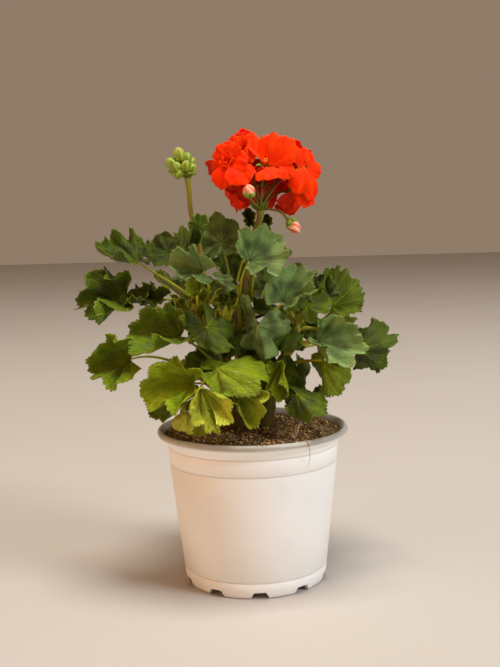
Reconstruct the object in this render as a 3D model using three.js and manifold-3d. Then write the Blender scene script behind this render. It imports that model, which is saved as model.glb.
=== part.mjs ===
// Potted zonal geranium: white plastic flower pot filled with peat, four leafy stems,
// one open red flower head and one cluster of green buds.
// Millimetres, +Z up. The origin is the centre of the pot's underside, and the
// viewer stands on the -Y side, with +X to the right.
import * as THREE from 'three';
import Module from 'manifold-3d';

const wasm = await Module();
wasm.setup();

// ---- pot: radii and heights ----
const POT_SIDES = 32;
const LIP_RADIUS = 65;
const LIP_HEIGHT = 102.5;
const POT_HEIGHT = 105.5;
const WALL = 1.3;
const FOOT_RADIUS = 47.2;
const NECK_RADIUS = 58.1;
const NECK_HEIGHT = 94.6;
const SHOULDER_RADIUS = 57.2;
const SHOULDER_HEIGHT = 83;
const GUTTER_INNER = 35.9;
const GUTTER_OUTER = 44.8;
const GUTTER_DEPTH = 5;
const FOOT_COUNT = 10;
const FOOT_TURN = 2.6;
const NOTCH_HEIGHT = 4.7;
const NOTCH_BOTTOM = 13.8;
const NOTCH_TOP = 7.8;
const DRAIN_RADIUS = 2.5;
const DRAIN_CIRCLE = 40.3;

// ---- soil ----
const CLEAR = 0.3;
const SOIL_RADIUS = 59.7;
const SOIL_EDGE = 101.4;
const SOIL_MIDDLE = 106;

// ---- leaf blade ----
const BLADE_THICKNESS = 0.7;
const LOBE_STEP = 46;
const LOBES_EACH_SIDE = 3.5;
const BLADE_HALF = LOBE_STEP * LOBES_EACH_SIDE;
const MIDDLE_RING = 0.5;
const STEPS_PER_LOBE = 3;
const STEPS_SMALL = 2;
const SMALL_LEAF = 26;
const PLEAT = 4;
const NOTCH_POWER = 1.3;
const REAR_START = 120;
const REAR_LOSS = 0.06;
const STALK_START = 1.5;
const STALK_END = 1.0;
const STALK_SIDES = 4;
const STALK_STEPS = 3;
const STALK_LEAVE = 0.38;
const STALK_ARRIVE = 0.34;

// ---- flower head ----
const PETAL_COUNT = 5;
const PETAL_STEP = 360 / PETAL_COUNT;
const PETAL_THICKNESS = 0.7;
const PETAL_OPEN = 28;
const PETAL_CURL = -38;
const PETAL_SINUS = 0.62;
const PETAL_ROUNDNESS = 0.7;
const PETAL_UNEVEN = 0.06;
const PETAL_TWIST = 12;
const PETAL_RUFFLE = 16;
// Petals laid one by one: width at the claw, where the full width is reached, how far the
// corners fall back, from which width a finer grid is used, and where the foot ends.
const CLAW_SPREAD = 0.2;
const FULL_SPREAD = 0.7;
const PETAL_CORNER = 0.2;
const CORNER_POWER = 2.8;
const BROAD_PETAL = 19;
const LAID_SHARES = [0.05, 0.55, 1];
const FOOT_SHARE = 0.35;
const INNER_WHORL_RISE = 0.9;
const INNER_WHORL_SHARE = 0.62;
const INNER_WHORL_OPEN = 26;
const INNER_WHORL_CURL = 0.6;
const PEDICEL_RADIUS = 0.75;
const CALYX_SHARE = 0.42;
const BUD_SIDES = 5;

// ---- stems ----
const STEM_SIDES = 6;
const STEM_STEPS = 10;
const BURIED = 0.2;

const radians = THREE.MathUtils.degToRad;
const vec = (x, y, z) => new THREE.Vector3(x, y, z);

// Stems: points from the soil up to the growing tip, and the radius at each point.
const STEMS = {
  left: {
    points: [[-11, -8, 84], [-11, -8, 106], [-16, -12, 139], [-26, -12, 163], [-31, -8, 180], [-34, -5, 191]],
    radii: [5, 5, 4.2, 3.8, 3.6, 2.6],
  },
  main: {
    points: [[-2, 8, 84], [-2, 8, 106], [-4, 4, 133], [-6, 1, 157], [-9, 2, 174], [-11, 6, 191]],
    radii: [6, 6, 5.2, 4.6, 4, 3],
  },
  right: {
    points: [[10, -3, 84], [10, -3, 106], [14, -2, 133], [24, 0, 153], [30, 2, 167], [34, 4, 178]],
    radii: [5, 5, 4.2, 3.6, 3.2, 2.4],
  },
  back: {
    points: [[-1, 27, 84], [-1, 27, 106], [-1, 34, 138], [-1, 42, 166], [-2, 46, 188]],
    radii: [5, 5, 4.2, 3.4, 2.4],
  },
};

// Leaves. node: place along the stem, 0 to 1. seat: where blade and stalk meet.
// turn: compass heading of the midrib, its rise, and the roll of the face about it.
// size: length of the midrib. cup: steepness all round, extra at the sides, tilt to one side.
// curl: bending towards the edge all round, along the midrib, across it.
// wave: height, count and start of the edge waves. rear: how much shorter the rear lobes are.
// skew: one half larger than the other. Angles in degrees.
const LEAVES = {
  left: [
    { name: 'tray_upper_left', node: 0.86, seat: [-74, -4, 219], turn: [178, -8, -45], size: 30,
      cup: [21, 11, -11], curl: [11, 31, -10], wave: [8, 5, -4], rear: 0.46, skew: -0.09 },
    { name: 'fan_upper_left', node: 0.92, seat: [-54, 4, 224], turn: [155, 31, -61], size: 16,
      cup: [11, 8, 0], curl: [-3, -14, 0], wave: [11, 4, -30], rear: 0.34, skew: -0.01 },
    { name: 'cup_young', node: 0.95, seat: [-45, 6, 225], turn: [-107, 62, 9], size: 18,
      cup: [40, 25, 0], curl: [14, 7, 0], wave: [8, 4, 19], rear: 0.33, skew: 0.03 },
    { name: 'folded_young', node: 0.95, seat: [-37, -22, 228], turn: [78, 38, 30], size: 23,
      cup: [38, 41, 5], curl: [13, -1, 6], wave: [16, 4, -69], rear: 0.28, skew: -0.06 },
    { name: 'pale_deep_lobed', node: 0.72, seat: [-29, -34, 213], turn: [152, 15, -74], size: 24,
      cup: [23, 40, 0], curl: [15, 2, 8], wave: [23, 4, -111], rear: 0.1, skew: 0.15, notch: 0.16 },
    { name: 'far_left_wavy', node: 0.35, seat: [-82, -6, 197], turn: [150, -12, -85], size: 35,
      cup: [37, 6, -10], curl: [28, 2, -6], wave: [26, 5, -79], rear: 0.29, skew: -0.14 },
    { name: 'left_ruffled', node: 0.84, seat: [-57, -14, 195], turn: [151, 0, -74], size: 18,
      cup: [21, 44, 2], curl: [10, -1, 1], wave: [25, 4, -49], rear: 0.32, skew: 0.04 },
    { name: 'left_half_fan', node: 0.22, seat: [-45, -30, 171], turn: [153, -5, -68], size: 34,
      cup: [30, 23, -4], curl: [16, -14, -3], wave: [15, 4, -157], rear: 0.12, skew: -0.2 },
    { name: 'left_low', node: 0.1, seat: [-79, -22, 156], turn: [150, -8, -86], size: 28,
      cup: [30, 25, -6], curl: [10, 14, 3], wave: [18, 4, -56], rear: -0.05, skew: -0.11, arch: 12 },
    { name: 'centre_left', node: 0.8, seat: [-27, -44, 178], turn: [-46, -47, 42], size: 20,
      cup: [-12, -22, 16], curl: [-11, -17, 17], wave: [20, 4, 131], rear: -0.24, skew: -0.45 },
    { name: 'small_pale', node: 0.97, seat: [-20, -24, 207], turn: [-26, -21, 71], size: 13,
      cup: [-24, -25, 0], curl: [-7, -13, 0], wave: [12, 4, -12], rear: 0.34, skew: 0.07 },
    { name: 'bottom_bright', node: 0.2, seat: [-21, -50, 152], turn: [-19, 21, 40], size: 38,
      cup: [-11, -13, 6], curl: [-3, -57, 9], wave: [11, 4, -71], rear: 0.7, skew: -0.12 },
    { name: 'bottom_pointed', node: 0.1, seat: [-9, -44, 136], turn: [42, -75, 114], size: 26,
      cup: [28, 34, 0], curl: [13, 21, 0], wave: [15, 4, -75], rear: 0.37, skew: -0.21 },
    { name: 'yellow_funnel', node: 0.16, seat: [-37, -40, 142], turn: [152, -9, -88], size: 35,
      cup: [35, 22, -6], curl: [4, -1, -14], wave: [21, 4, -49], rear: 0.36, skew: -0.14 },
    { name: 'yellow_hanging', node: 0.14, seat: [-32, -52, 141], turn: [123, -52, -168], size: 32,
      cup: [44, 7, -4], curl: [29, 27, -2], wave: [11, 4, 2], rear: 0.27, skew: -0.14 },
    { name: 'withered', node: 0.1, seat: [-41, -48, 124], turn: [-147, -41, -44], size: 15,
      cup: [-16, -17, 5], curl: [-34, -8, 5], wave: [21, 4, -25], rear: 0.33, skew: -0.12 },
    { name: 'dark_behind_funnel', node: 0.3, seat: [-31, -22, 152], turn: [174, 29, -47], size: 13,
      cup: [2, -8, -3], curl: [-5, -16, -4], wave: [10, 4, 7], rear: 0.25, skew: -0.09 },
    { name: 'soil_small', node: 0.12, seat: [-31, -56, 121], turn: [-141, -62, -11], size: 11,
      cup: [1, -3, -6], curl: [-3, -15, -7], wave: [14, 4, -3], rear: 0.15, skew: -0.03 },
    { name: 'left_small', node: 0.6, seat: [-72, -18, 193], turn: [-179, -13, -28], size: 13,
      cup: [23, 15, -2], curl: [7, -3, -2], wave: [17, 4, 27], rear: 0.1, skew: -0.1 },
    { name: 'under_funnel', node: 0.1, seat: [-45, -18, 125], turn: [-165, -18, -16], size: 25,
      cup: [5, 0, -7], curl: [1, -8, -7], wave: [14, 4, 10], rear: 0.18, skew: 0.03 },
  ],
  main: [
    { name: 'top_round', node: 0.97, seat: [-18, 10, 230], turn: [88, 77, -17], size: 21,
      cup: [11, -13, 2], curl: [3, 1, 3], wave: [12, 5, 31], rear: 0.36, skew: -0.06, wide: 0.9 },
    { name: 'top_right_round', node: 0.6, seat: [1, -29, 219], turn: [38, 23, 63], size: 26,
      cup: [27, 11, 1], curl: [12, -3, 3], wave: [18, 4, -51], rear: 0.16, skew: 0.06 },
    { name: 'dark_funnel', node: 0.94, seat: [-13, 20, 207], turn: [134, 57, -23], size: 17,
      cup: [20, 27, -1], curl: [0, -7, -2], wave: [14, 4, 44], rear: 0.03, skew: -0.09 },
    { name: 'centre_hanging', node: 0.64, seat: [5, -34, 177], turn: [-98, -64, 8], size: 25,
      cup: [-22, -32, 6], curl: [-21, -21, 10], wave: [26, 4, 164], rear: -0.25, skew: -0.12 },
    { name: 'blue_hollow', node: 0.7, seat: [22, -20, 191], turn: [57, 41, 29], size: 27,
      cup: [25, 27, 0], curl: [14, -6, -2], wave: [17, 4, -92], rear: -0.05, skew: 0.12 },
    { name: 'top_right_lobe', node: 0.4, seat: [4, -20, 217], turn: [-42, -52, 73], size: 14,
      cup: [-9, -24, -7], curl: [-10, -19, -9], wave: [12, 4, -13], rear: 0.22, skew: -0.16 },
    { name: 'bud_leaf_b', node: 0.86, seat: [-13, -4, 193], turn: [0, 66, 68], size: 9,
      cup: [25, 20, 0], curl: [0, -10, 0], wave: [20, 4, 0] },
    { name: 'bract_leaf_a', node: 1.0, seat: [2, 10, 242], turn: [111, 65, -18], size: 11,
      cup: [30, 38, 1], curl: [7, -2, 2], wave: [15, 4, -34], rear: 0.25, skew: -0.03 },
    { name: 'bract_leaf_b', node: 0.98, seat: [13, 10, 239], turn: [79, 65, 5], size: 10,
      cup: [29, 34, 0], curl: [7, 0, 0], wave: [16, 4, -47], rear: 0.19, skew: 0.02 },
  ],
  right: [
    { name: 'right_inner', node: 0.95, seat: [38, -12, 187], turn: [41, 41, 42], size: 15,
      cup: [9, 15, 4], curl: [-3, -1, 4], wave: [14, 4, 3], rear: 0.11, skew: 0.22 },
    { name: 'right_upright', node: 1.0, seat: [49, 2, 190], turn: [67, 58, 23], size: 18,
      cup: [28, 20, -2], curl: [9, -1, -1], wave: [15, 4, -37], skew: -0.09 },
    { name: 'right_underside', node: 0.98, seat: [57, 14, 185], turn: [45, 20, -129], size: 27,
      cup: [-21, -27, -8], curl: [-19, -6, -4], wave: [16, 4, 42], rear: -0.21, skew: 0.17 },
    { name: 'right_pale', node: 0.55, seat: [44, -26, 165], turn: [21, -27, 72], size: 32,
      cup: [30, 12, 2], curl: [21, 0, 1], wave: [14, 4, -13], rear: 0.39, skew: 0.1 },
    { name: 'right_hanging', node: 0.36, seat: [48, -30, 152], turn: [-100, -58, 29], size: 27,
      cup: [-19, -25, 4], curl: [-15, -38, 2], wave: [12, 4, -10], rear: 0.37, skew: 0.11 },
    { name: 'far_right', node: 0.82, seat: [75, 2, 156], turn: [-54, 15, 96], size: 26,
      cup: [-26, 2, 11], curl: [-27, -26, -3], wave: [25, 5, 80], rear: 0.19, skew: -0.07 },
    { name: 'right_dark', node: 0.85, seat: [38, 20, 173], turn: [-63, -70, 25], size: 12,
      cup: [6, 0, 0], curl: [0, -10, 0], wave: [18, 4, 0] },
    { name: 'low_right', node: 0.18, seat: [29, -46, 134], turn: [-48, -9, 45], size: 23,
      cup: [-14, -27, 4], curl: [-13, -22, 2], wave: [12, 4, 23], rear: 0.48, skew: -0.06 },
    { name: 'low_right_dark', node: 0.25, seat: [29, -30, 133], turn: [91, 66, -1], size: 11,
      cup: [22, 21, -3], curl: [6, -7, -4], wave: [10, 4, -3], rear: 0.29, skew: -0.14 },
    { name: 'low_hanging', node: 0.35, seat: [19, -26, 150], turn: [51, -67, 160], size: 25,
      cup: [33, 33, 2], curl: [19, 21, 4], wave: [8, 4, 6], rear: 0.49, skew: -0.12 },
    { name: 'low_right_rear', node: 0.25, seat: [45, -4, 122], turn: [74, 42, -24], size: 12,
      cup: [12, -4, 7], curl: [1, -7, 8], wave: [15, 4, 43], rear: 0.27, skew: -0.08 },
    { name: 'blue_rear', node: 0.92, seat: [33, 22, 201], turn: [94, 82, 39], size: 14,
      cup: [10, -2, -7], curl: [0, -9, -8], wave: [14, 4, 15], rear: 0.16, skew: -0.01 },
  ],
  back: [
    { name: 'back_a', node: 0.95, seat: [-26, 44, 221], turn: [111, 22, 16], size: 26,
      cup: [18, 12, 4], curl: [8, -22, 6], wave: [16, 4, 20], rear: 0.22, skew: 0.06, plain: true },
    { name: 'back_b', node: 1.0, seat: [10, 48, 210], turn: [68, 12, -12], size: 27,
      cup: [14, 18, -5], curl: [-6, -14, -8], wave: [18, 4, 120], rear: 0.15, plain: true },
    { name: 'back_c', node: 0.8, seat: [-45, 40, 189], turn: [131, 6, 17], size: 29,
      cup: [24, 8, 6], curl: [14, -6, 9], wave: [14, 5, 70], rear: 0.3, skew: -0.08, plain: true },
    { name: 'back_d', node: 0.8, seat: [30, 50, 187], turn: [51, 6, -18], size: 28,
      cup: [20, 16, -6], curl: [10, -18, -6], wave: [18, 4, -60], skew: 0.08, plain: true },
    { name: 'back_e', node: 0.85, seat: [-10, 66, 183], turn: [96, -9, 2], size: 31,
      cup: [12, 22, 2], curl: [-8, -20, 4], wave: [20, 4, 10], rear: 0.12, plain: true },
    { name: 'back_f', node: 0.6, seat: [-37, 62, 161], turn: [122, -23, 11], size: 30,
      cup: [26, 6, -4], curl: [16, -10, 6], wave: [16, 4, 150], rear: 0.26, skew: -0.05, plain: true },
    { name: 'back_g', node: 0.55, seat: [15, 64, 160], turn: [65, -23, -7], size: 30,
      cup: [16, 20, 6], curl: [6, -24, -8], wave: [16, 5, -30], plain: true },
    { name: 'back_i', node: 0.5, seat: [54, 40, 158], turn: [30, -3, -21], size: 27,
      cup: [22, 10, -6], curl: [12, -8, 8], wave: [20, 4, 80], rear: 0.24, skew: 0.07, plain: true },
    { name: 'back_j', node: 0.3, seat: [-11, 58, 133], turn: [90, -37, 0], size: 27,
      cup: [18, 14, 4], curl: [8, -26, 5], wave: [16, 4, -100], rear: 0.16, plain: true },
    { name: 'back_k', node: 0.2, seat: [-34, 46, 131], turn: [131, -23, 15], size: 25,
      cup: [14, 18, -4], curl: [4, -18, -7], wave: [18, 4, 40], rear: 0.22, plain: true },
  ],
};

// Where the flower stalks of the open head meet.
const UMBEL = [9, -8, 252.5];

// Crowded petals under the open flowers: middle, and radius and height of their outline.
const HEAD_MIDDLE = [12.4, 2, 278];
const HEAD_OUTLINE = [[0, 5.5], [12, 4], [22, -2], [23.5, 0], [13, 6.5], [0, 8]];
const HEAD_SIDES = 8;

// Flowers of the head. seat: middle of the flower. axis: where it faces. roll: turn about it.
// kind: laid flowers carry the petals below, a rose has a close whorl between them as well.
const FLORETS = [
  { name: 'left_front', seat: [-10.5, -15, 283.5], axis: [-0.6, -0.75, 0.2], size: 15,
    roll: 20, kind: 'rose' },
  { name: 'left_low', seat: [-6.5, -17, 273.5], axis: [-0.45, -0.85, -0.1], size: 16,
    roll: 200, kind: 'laid' },
  { name: 'top_left', seat: [-1, -2, 290.5], axis: [-0.4, -0.35, 0.85], size: 18,
    roll: 70, kind: 'laid' },
  { name: 'front', seat: [12.5, -19, 281], axis: [0.12, -0.85, 0.5], size: 20,
    roll: 330, kind: 'laid' },
  { name: 'right_front', seat: [35.5, -8, 278], axis: [0.75, -0.6, 0.15], size: 19,
    roll: 10, kind: 'laid' },
  { name: 'left_shade', seat: [-5, 6, 267], axis: [-0.75, 0.1, -0.15], size: 17,
    roll: 40 },
  { name: 'right_shade', seat: [29, 10, 262.5], axis: [0.65, 0.25, -0.25], size: 16,
    roll: 100 },
  { name: 'right_rear', seat: [32, 12, 287], axis: [0.6, 0.4, 0.65], size: 15,
    roll: 50 },
  { name: 'top_rear', seat: [17, 12, 291], axis: [0.1, 0.4, 0.9], size: 16,
    roll: 0 },
  { name: 'top_left_rear', seat: [-3, 16, 292.5], axis: [-0.45, 0.55, 0.7], size: 16,
    roll: 30 },
  { name: 'rear', seat: [11, 24, 270], axis: [0.0, 1.0, -0.15], size: 18,
    roll: 15 },
  { name: 'left_rear', seat: [-8.5, 18, 278], axis: [-0.75, 0.65, 0.15], size: 17,
    roll: 60 },
  { name: 'right_rear_low', seat: [31.5, 20, 275.5], axis: [0.7, 0.7, 0.1], size: 17,
    roll: 80 },
];

// Petals laid one by one over the open flowers. flower: where the petal grows. claw and
// tip: its two ends. facing: where its upper side looks. bulge: rise along its length.
// dish: fall of its two sides.
const PETALS = [
  { flower: 'left_front', claw: [-12, -15, 284], tip: [-18.5, -12, 292.5], width: 13,
    facing: [-0.5, -0.8, 0.2], bulge: 0.1, dish: 0.1 },
  { flower: 'left_front', claw: [-11.5, -16, 285], tip: [-4.5, -20, 293], width: 12,
    facing: [-0.3, -0.9, 0.1], bulge: 0.1, dish: 0.1 },
  { flower: 'left_front', claw: [-13.5, -14, 283.5], tip: [-21.5, -8, 279], width: 13,
    facing: [-0.6, -0.7, 0.2], bulge: 0.1, dish: 0.1 },
  { flower: 'left_front', claw: [-10, -16, 284], tip: [0, -24, 278.5], width: 13,
    facing: [-0.1, -0.95, 0.1], bulge: 0.12, dish: 0.08 },
  { flower: 'left_front', claw: [-12.5, -15, 281.5], tip: [-16.5, -19, 266], width: 15,
    facing: [-0.3, -0.9, 0.3], bulge: 0.12, dish: 0.05 },
  { flower: 'left_front', claw: [-9, -17, 282], tip: [-0.5, -26, 268], width: 20,
    facing: [0, -0.9, 0.35], bulge: 0.12, dish: 0.05 },
  { flower: 'left_front', claw: [-15.5, -8, 282.5], tip: [-24.5, 0, 277.5], width: 13,
    facing: [0.4, 0.8, 0.3], bulge: 0.06, dish: 0.1 },
  { flower: 'top_left', claw: [-1.5, -8, 288], tip: [-4.5, -9, 299.5], width: 17,
    facing: [-0.2, -0.9, 0.3], bulge: 0.08, dish: 0.08 },
  { flower: 'top_left', claw: [1, -10, 286.5], tip: [5.5, -6, 301.5], width: 8,
    facing: [-0.3, -0.9, 0.2], bulge: 0.05, dish: 0.15 },
  { flower: 'top_left', claw: [-3.5, 2, 292.5], tip: [-6, 2, 302], width: 11,
    facing: [0.1, 0.9, 0.3], bulge: 0.05, dish: 0.1 },
  { flower: 'top_left', claw: [0.5, 4, 292.5], tip: [1.5, 4, 303], width: 7,
    facing: [0.1, 0.9, 0.3], bulge: 0.05, dish: 0.1 },
  { flower: 'front', claw: [3.5, -16, 279.5], tip: [0, -17, 291], width: 12,
    facing: [0.5, -0.8, 0.2], bulge: 0.08, dish: 0.12 },
  { flower: 'front', claw: [16, -20, 278], tip: [28.5, -20, 296.5], width: 22,
    facing: [0.1, -0.95, 0.25], bulge: 0.1, dish: 0.06 },
  { flower: 'front', claw: [12, -20, 280.5], tip: [4, -13, 294.5], width: 9,
    facing: [0.6, -0.75, 0.2], bulge: 0.06, dish: 0.12 },
  { flower: 'front', claw: [11, -21, 281], tip: [13, -14, 299], width: 10,
    facing: [-0.5, -0.8, 0.1], bulge: 0.05, dish: 0.16 },
  { flower: 'front', claw: [13.5, -21, 281], tip: [19.5, -16, 299], width: 10,
    facing: [0.6, -0.75, 0.1], bulge: 0.05, dish: 0.16 },
  { flower: 'front', claw: [4, -19, 280.5], tip: [6, -11, 300], width: 10,
    facing: [-0.3, -0.9, 0.1], bulge: 0.05, dish: 0.16 },
  { flower: 'front', claw: [15.5, -21, 278.5], tip: [16.5, -29, 270], width: 21,
    facing: [0, -0.75, 0.65], bulge: 0.06, dish: 0.03 },
  { flower: 'front', claw: [22, -21, 279.5], tip: [29.5, -24, 271.5], width: 12,
    facing: [0.3, -0.9, 0.2], bulge: 0.08, dish: 0.06 },
  { flower: 'right_front', claw: [35.5, -11, 276], tip: [37, -9, 291], width: 13,
    facing: [0.3, -0.9, 0.2], bulge: 0.08, dish: 0.1 },
  { flower: 'right_front', claw: [41, -9, 277], tip: [43, -5, 288], width: 12,
    facing: [0.7, -0.7, 0.2], bulge: 0.08, dish: 0.1 },
  { flower: 'right_front', claw: [39, -9, 280.5], tip: [49, -4, 273.5], width: 13,
    facing: [0.5, -0.8, 0.2], bulge: 0.08, dish: 0.08 },
  { flower: 'right_front', claw: [37, -10, 279], tip: [33.5, -16, 261], width: 15,
    facing: [0.1, -0.95, 0.1], bulge: 0.1, dish: 0.06 },
  { flower: 'right_front', claw: [39, -9, 279], tip: [42.5, -12, 257], width: 14,
    facing: [0.6, -0.8, 0.1], bulge: 0.08, dish: 0.08 },
  { flower: 'right_front', claw: [38, -8, 266], tip: [39.5, -11, 252.5], width: 14,
    facing: [0.4, -0.9, 0.2], bulge: 0.08, dish: 0.16 },
  { flower: 'right_front', claw: [36.5, -8, 282.5], tip: [31.5, -8, 289.5], width: 10,
    facing: [0.4, -0.9, 0.1], bulge: 0.08, dish: 0.1 },
  { flower: 'left_shade', claw: [2, 0, 267.5], tip: [-9.5, -2, 255], width: 18,
    facing: [0.3, 0.8, 0.3], bulge: 0.05, dish: 0.08 },
  { flower: 'left_shade', claw: [-3.5, 0, 269], tip: [-13.5, 0, 262], width: 10,
    facing: [0.3, 0.8, 0.3], bulge: 0.05, dish: 0.08 },
  { flower: 'right_shade', claw: [34, 2, 264], tip: [25, 2, 250.5], width: 15,
    facing: [0.3, 0.8, 0.3], bulge: 0.05, dish: 0.08 },
  { flower: 'top_left', claw: [-2, 0, 291], tip: [-13, 8, 297], width: 13,
    facing: [-0.2, 0.1, 1], bulge: 0.1, dish: 0.1 },
  { flower: 'top_left', claw: [0, 1, 291], tip: [4, 12, 298], width: 13,
    facing: [0, -0.2, 1], bulge: 0.1, dish: 0.1 },
  { flower: 'front', claw: [13, -15, 285], tip: [10, -2, 296], width: 14,
    facing: [0, -0.1, 1], bulge: 0.1, dish: 0.1 },
  { flower: 'front', claw: [16, -15, 285], tip: [25, -4, 294], width: 14,
    facing: [0.1, 0, 1], bulge: 0.1, dish: 0.1 },
  { flower: 'left_front', claw: [-9, -12, 287], tip: [-4, -1, 294], width: 12,
    facing: [-0.2, 0, 1], bulge: 0.1, dish: 0.1 },
  { flower: 'right_front', claw: [36, -6, 281], tip: [30, 4, 289], width: 12,
    facing: [0.2, 0, 1], bulge: 0.1, dish: 0.1 },
];

// Closed buds of the cluster: base, tip and greatest radius.
const GREEN_BUDS = [
  { base: [-42.5, -12, 284.5], tip: [-44, -12, 293.5], radius: 3.7 },
  { base: [-38.5, -12, 283.5], tip: [-37.5, -11, 290], radius: 3 },
  { base: [-46.5, -12, 281.5], tip: [-52, -13, 285.5], radius: 3.5 },
  { base: [-43.5, -14, 278], tip: [-46.5, -16, 283.5], radius: 3.1 },
  { base: [-37, -10, 281], tip: [-33.5, -9, 286.5], radius: 3 },
  { base: [-39.5, -14, 278], tip: [-38, -16, 284.5], radius: 3.1 },
  { base: [-37, -12, 277], tip: [-32.5, -13, 282], radius: 2.9 },
  { base: [-44.5, -8, 277], tip: [-51, -5, 279.5], radius: 3.2 },
  { base: [-42, -13, 278], tip: [-46, -15, 273], radius: 3.3 },
  { base: [-38.5, -12, 275.5], tip: [-33, -12, 276.5], radius: 2.7 },
  { base: [-42.5, -6, 281.5], tip: [-43.5, -2, 288], radius: 3.1 },
  { base: [-38, -6, 280], tip: [-36, -2, 286.5], radius: 3 },
];

// Two buds about to open: green sepals below, coral petals above.
const CORAL_BUDS = [
  { base: [2, -27, 259], tip: [1.5, -29, 267.5], radius: 3.7, stem: [[5, -18, 255]] },
  { base: [27, -14, 244.5], tip: [34, -15, 235.5], radius: 3.7,
    stem: [[16, -10, 251.5], [22.5, -12, 249.5]] },
];

// Peduncles of the open head and of the bud cluster.
const BLOOM_PEDUNCLE = [
  [-8, 0, 176.5], [-4, -4, 194.5], [0.5, -4, 217], [5.5, -6, 237], [8.5, -8, 246], [9, -8, 252],
];
const BUD_PEDUNCLE = [
  [-29, -5, 183], [-30, -3, 206], [-32, -4, 226], [-34, -6, 236.5],
  [-37, -10, 252.5], [-37.5, -11, 264], [-38.5, -12, 274.5],
];

function unitSum(a, scaleA, b, scaleB) {
  return a.clone().multiplyScalar(scaleA).addScaledVector(b, scaleB);
}

// Makes a closed solid from points and faces (triangles or quads).
function solid(points, faces) {
  const triangles = [];
  for (const face of faces) {
    for (let k = 2; k < face.length; k += 1) {
      triangles.push(face[0], face[k - 1], face[k]);
    }
  }
  const coordinates = points.flatMap((p) => [p.x, p.y, p.z]);
  return new wasm.Manifold(new wasm.Mesh({
    numProp: 3,
    vertProperties: Float32Array.from(coordinates),
    triVerts: Uint32Array.from(triangles),
  }));
}

function joined(solids) {
  return wasm.Manifold.union(solids);
}

// The biggest single body of a solid that may have loose chips.
function biggest(shape) {
  const parts = shape.decompose();
  parts.sort((a, b) => b.volume() - a.volume());
  return parts[0];
}

// ---- surfaces of revolution ----
function turned(profile, sides, middle = vec(0, 0, 0)) {
  const points = [];
  const faces = [];
  const rings = [];
  for (const [radius, height] of profile) {
    const ring = [];
    const count = radius === 0 ? 1 : sides;
    for (let k = 0; k < count; k += 1) {
      const angle = (2 * Math.PI * k) / sides;
      ring.push(points.length);
      points.push(vec(radius * Math.cos(angle), radius * Math.sin(angle), height).add(middle));
    }
    rings.push(ring);
  }
  for (let i = 0; i + 1 < rings.length; i += 1) {
    const low = rings[i];
    const high = rings[i + 1];
    for (let k = 0; k < sides; k += 1) {
      const next = (k + 1) % sides;
      const quad = [low[k % low.length], low[next % low.length],
        high[next % high.length], high[k % high.length]];
      const corners = quad.filter((corner, place) => corner !== quad[(place + 1) % quad.length]);
      if (corners.length > 2) {
        faces.push(corners);
      }
    }
  }
  return solid(points, faces);
}

// ---- round rods along a path ----
function smoothCurve(rows) {
  return new THREE.CatmullRomCurve3(rows.map((row) => vec(...row)), false, 'catmullrom', 0.5);
}

function smoothPath(rows, steps) {
  return smoothCurve(rows).getPoints(steps);
}

function ringFrames(path) {
  const frames = [];
  let side = null;
  path.forEach((point, i) => {
    const before = path[Math.max(i - 1, 0)];
    const after = path[Math.min(i + 1, path.length - 1)];
    const along = after.clone().sub(before).normalize();
    if (side === null) {
      const away = Math.abs(along.z) < 0.9 ? vec(0, 0, 1) : vec(1, 0, 0);
      side = away.cross(along).normalize();
    }
    side = side.clone().addScaledVector(along, -side.dot(along)).normalize();
    frames.push({ point, side, other: along.clone().cross(side) });
  });
  return frames;
}

function rod(path, radii, sides, extra = 0) {
  const points = [];
  const faces = [];
  const last = path.length - 1;
  ringFrames(path).forEach(({ point, side, other }, i) => {
    const share = (i / last) * (radii.length - 1);
    const low = Math.min(Math.floor(share), radii.length - 2);
    const radius = THREE.MathUtils.lerp(radii[low], radii[low + 1], share - low) + extra;
    for (let k = 0; k < sides; k += 1) {
      const angle = (2 * Math.PI * k) / sides;
      const offset = unitSum(side, radius * Math.cos(angle), other, radius * Math.sin(angle));
      points.push(point.clone().add(offset));
    }
    for (let k = 0; k < sides && i > 0; k += 1) {
      const next = (k + 1) % sides;
      const row = (i - 1) * sides;
      faces.push([row + k, row + next, row + sides + next, row + sides + k]);
    }
  });
  const start = [...Array(sides).keys()].reverse();
  const end = [...Array(sides).keys()].map((k) => last * sides + k);
  faces.push(start, end);
  return solid(points, faces);
}

// ---- leaf blade ----
// Directions of midrib, face and side from heading, rise and roll.
function leafAxes([heading, rise, roll]) {
  const h = radians(heading);
  const r = radians(rise);
  const tip = vec(Math.cos(r) * Math.cos(h), Math.cos(r) * Math.sin(h), Math.sin(r));
  const upright = vec(-Math.sin(r) * Math.cos(h), -Math.sin(r) * Math.sin(h), Math.cos(r));
  const level = vec(Math.sin(h), -Math.cos(h), 0);
  const face = unitSum(upright, Math.cos(radians(roll)), level, Math.sin(radians(roll)));
  return { tip, face, side: tip.clone().cross(face) };
}

// Length of the blade from its seat to the edge, at an angle from the midrib.
function bladeReach(leaf, angle) {
  const turn = radians(angle);
  const rear = leaf.rear * (0.5 - 0.5 * Math.cos(turn));
  const deepRear = THREE.MathUtils.clamp((Math.abs(angle) - REAR_START) / LOBE_STEP, 0, 1);
  const lobe = 1 - Math.abs(Math.cos((Math.PI * angle) / LOBE_STEP));
  const notch = leaf.notch * NOTCH_POWER * lobe ** NOTCH_POWER;
  const width = leaf.wide ** (Math.sin(turn) ** 2);
  return leaf.size * (1 - rear + leaf.skew * Math.sin(turn)) * (1 - REAR_LOSS * deepRear ** 2)
    * (1 - notch) * width;
}

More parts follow.
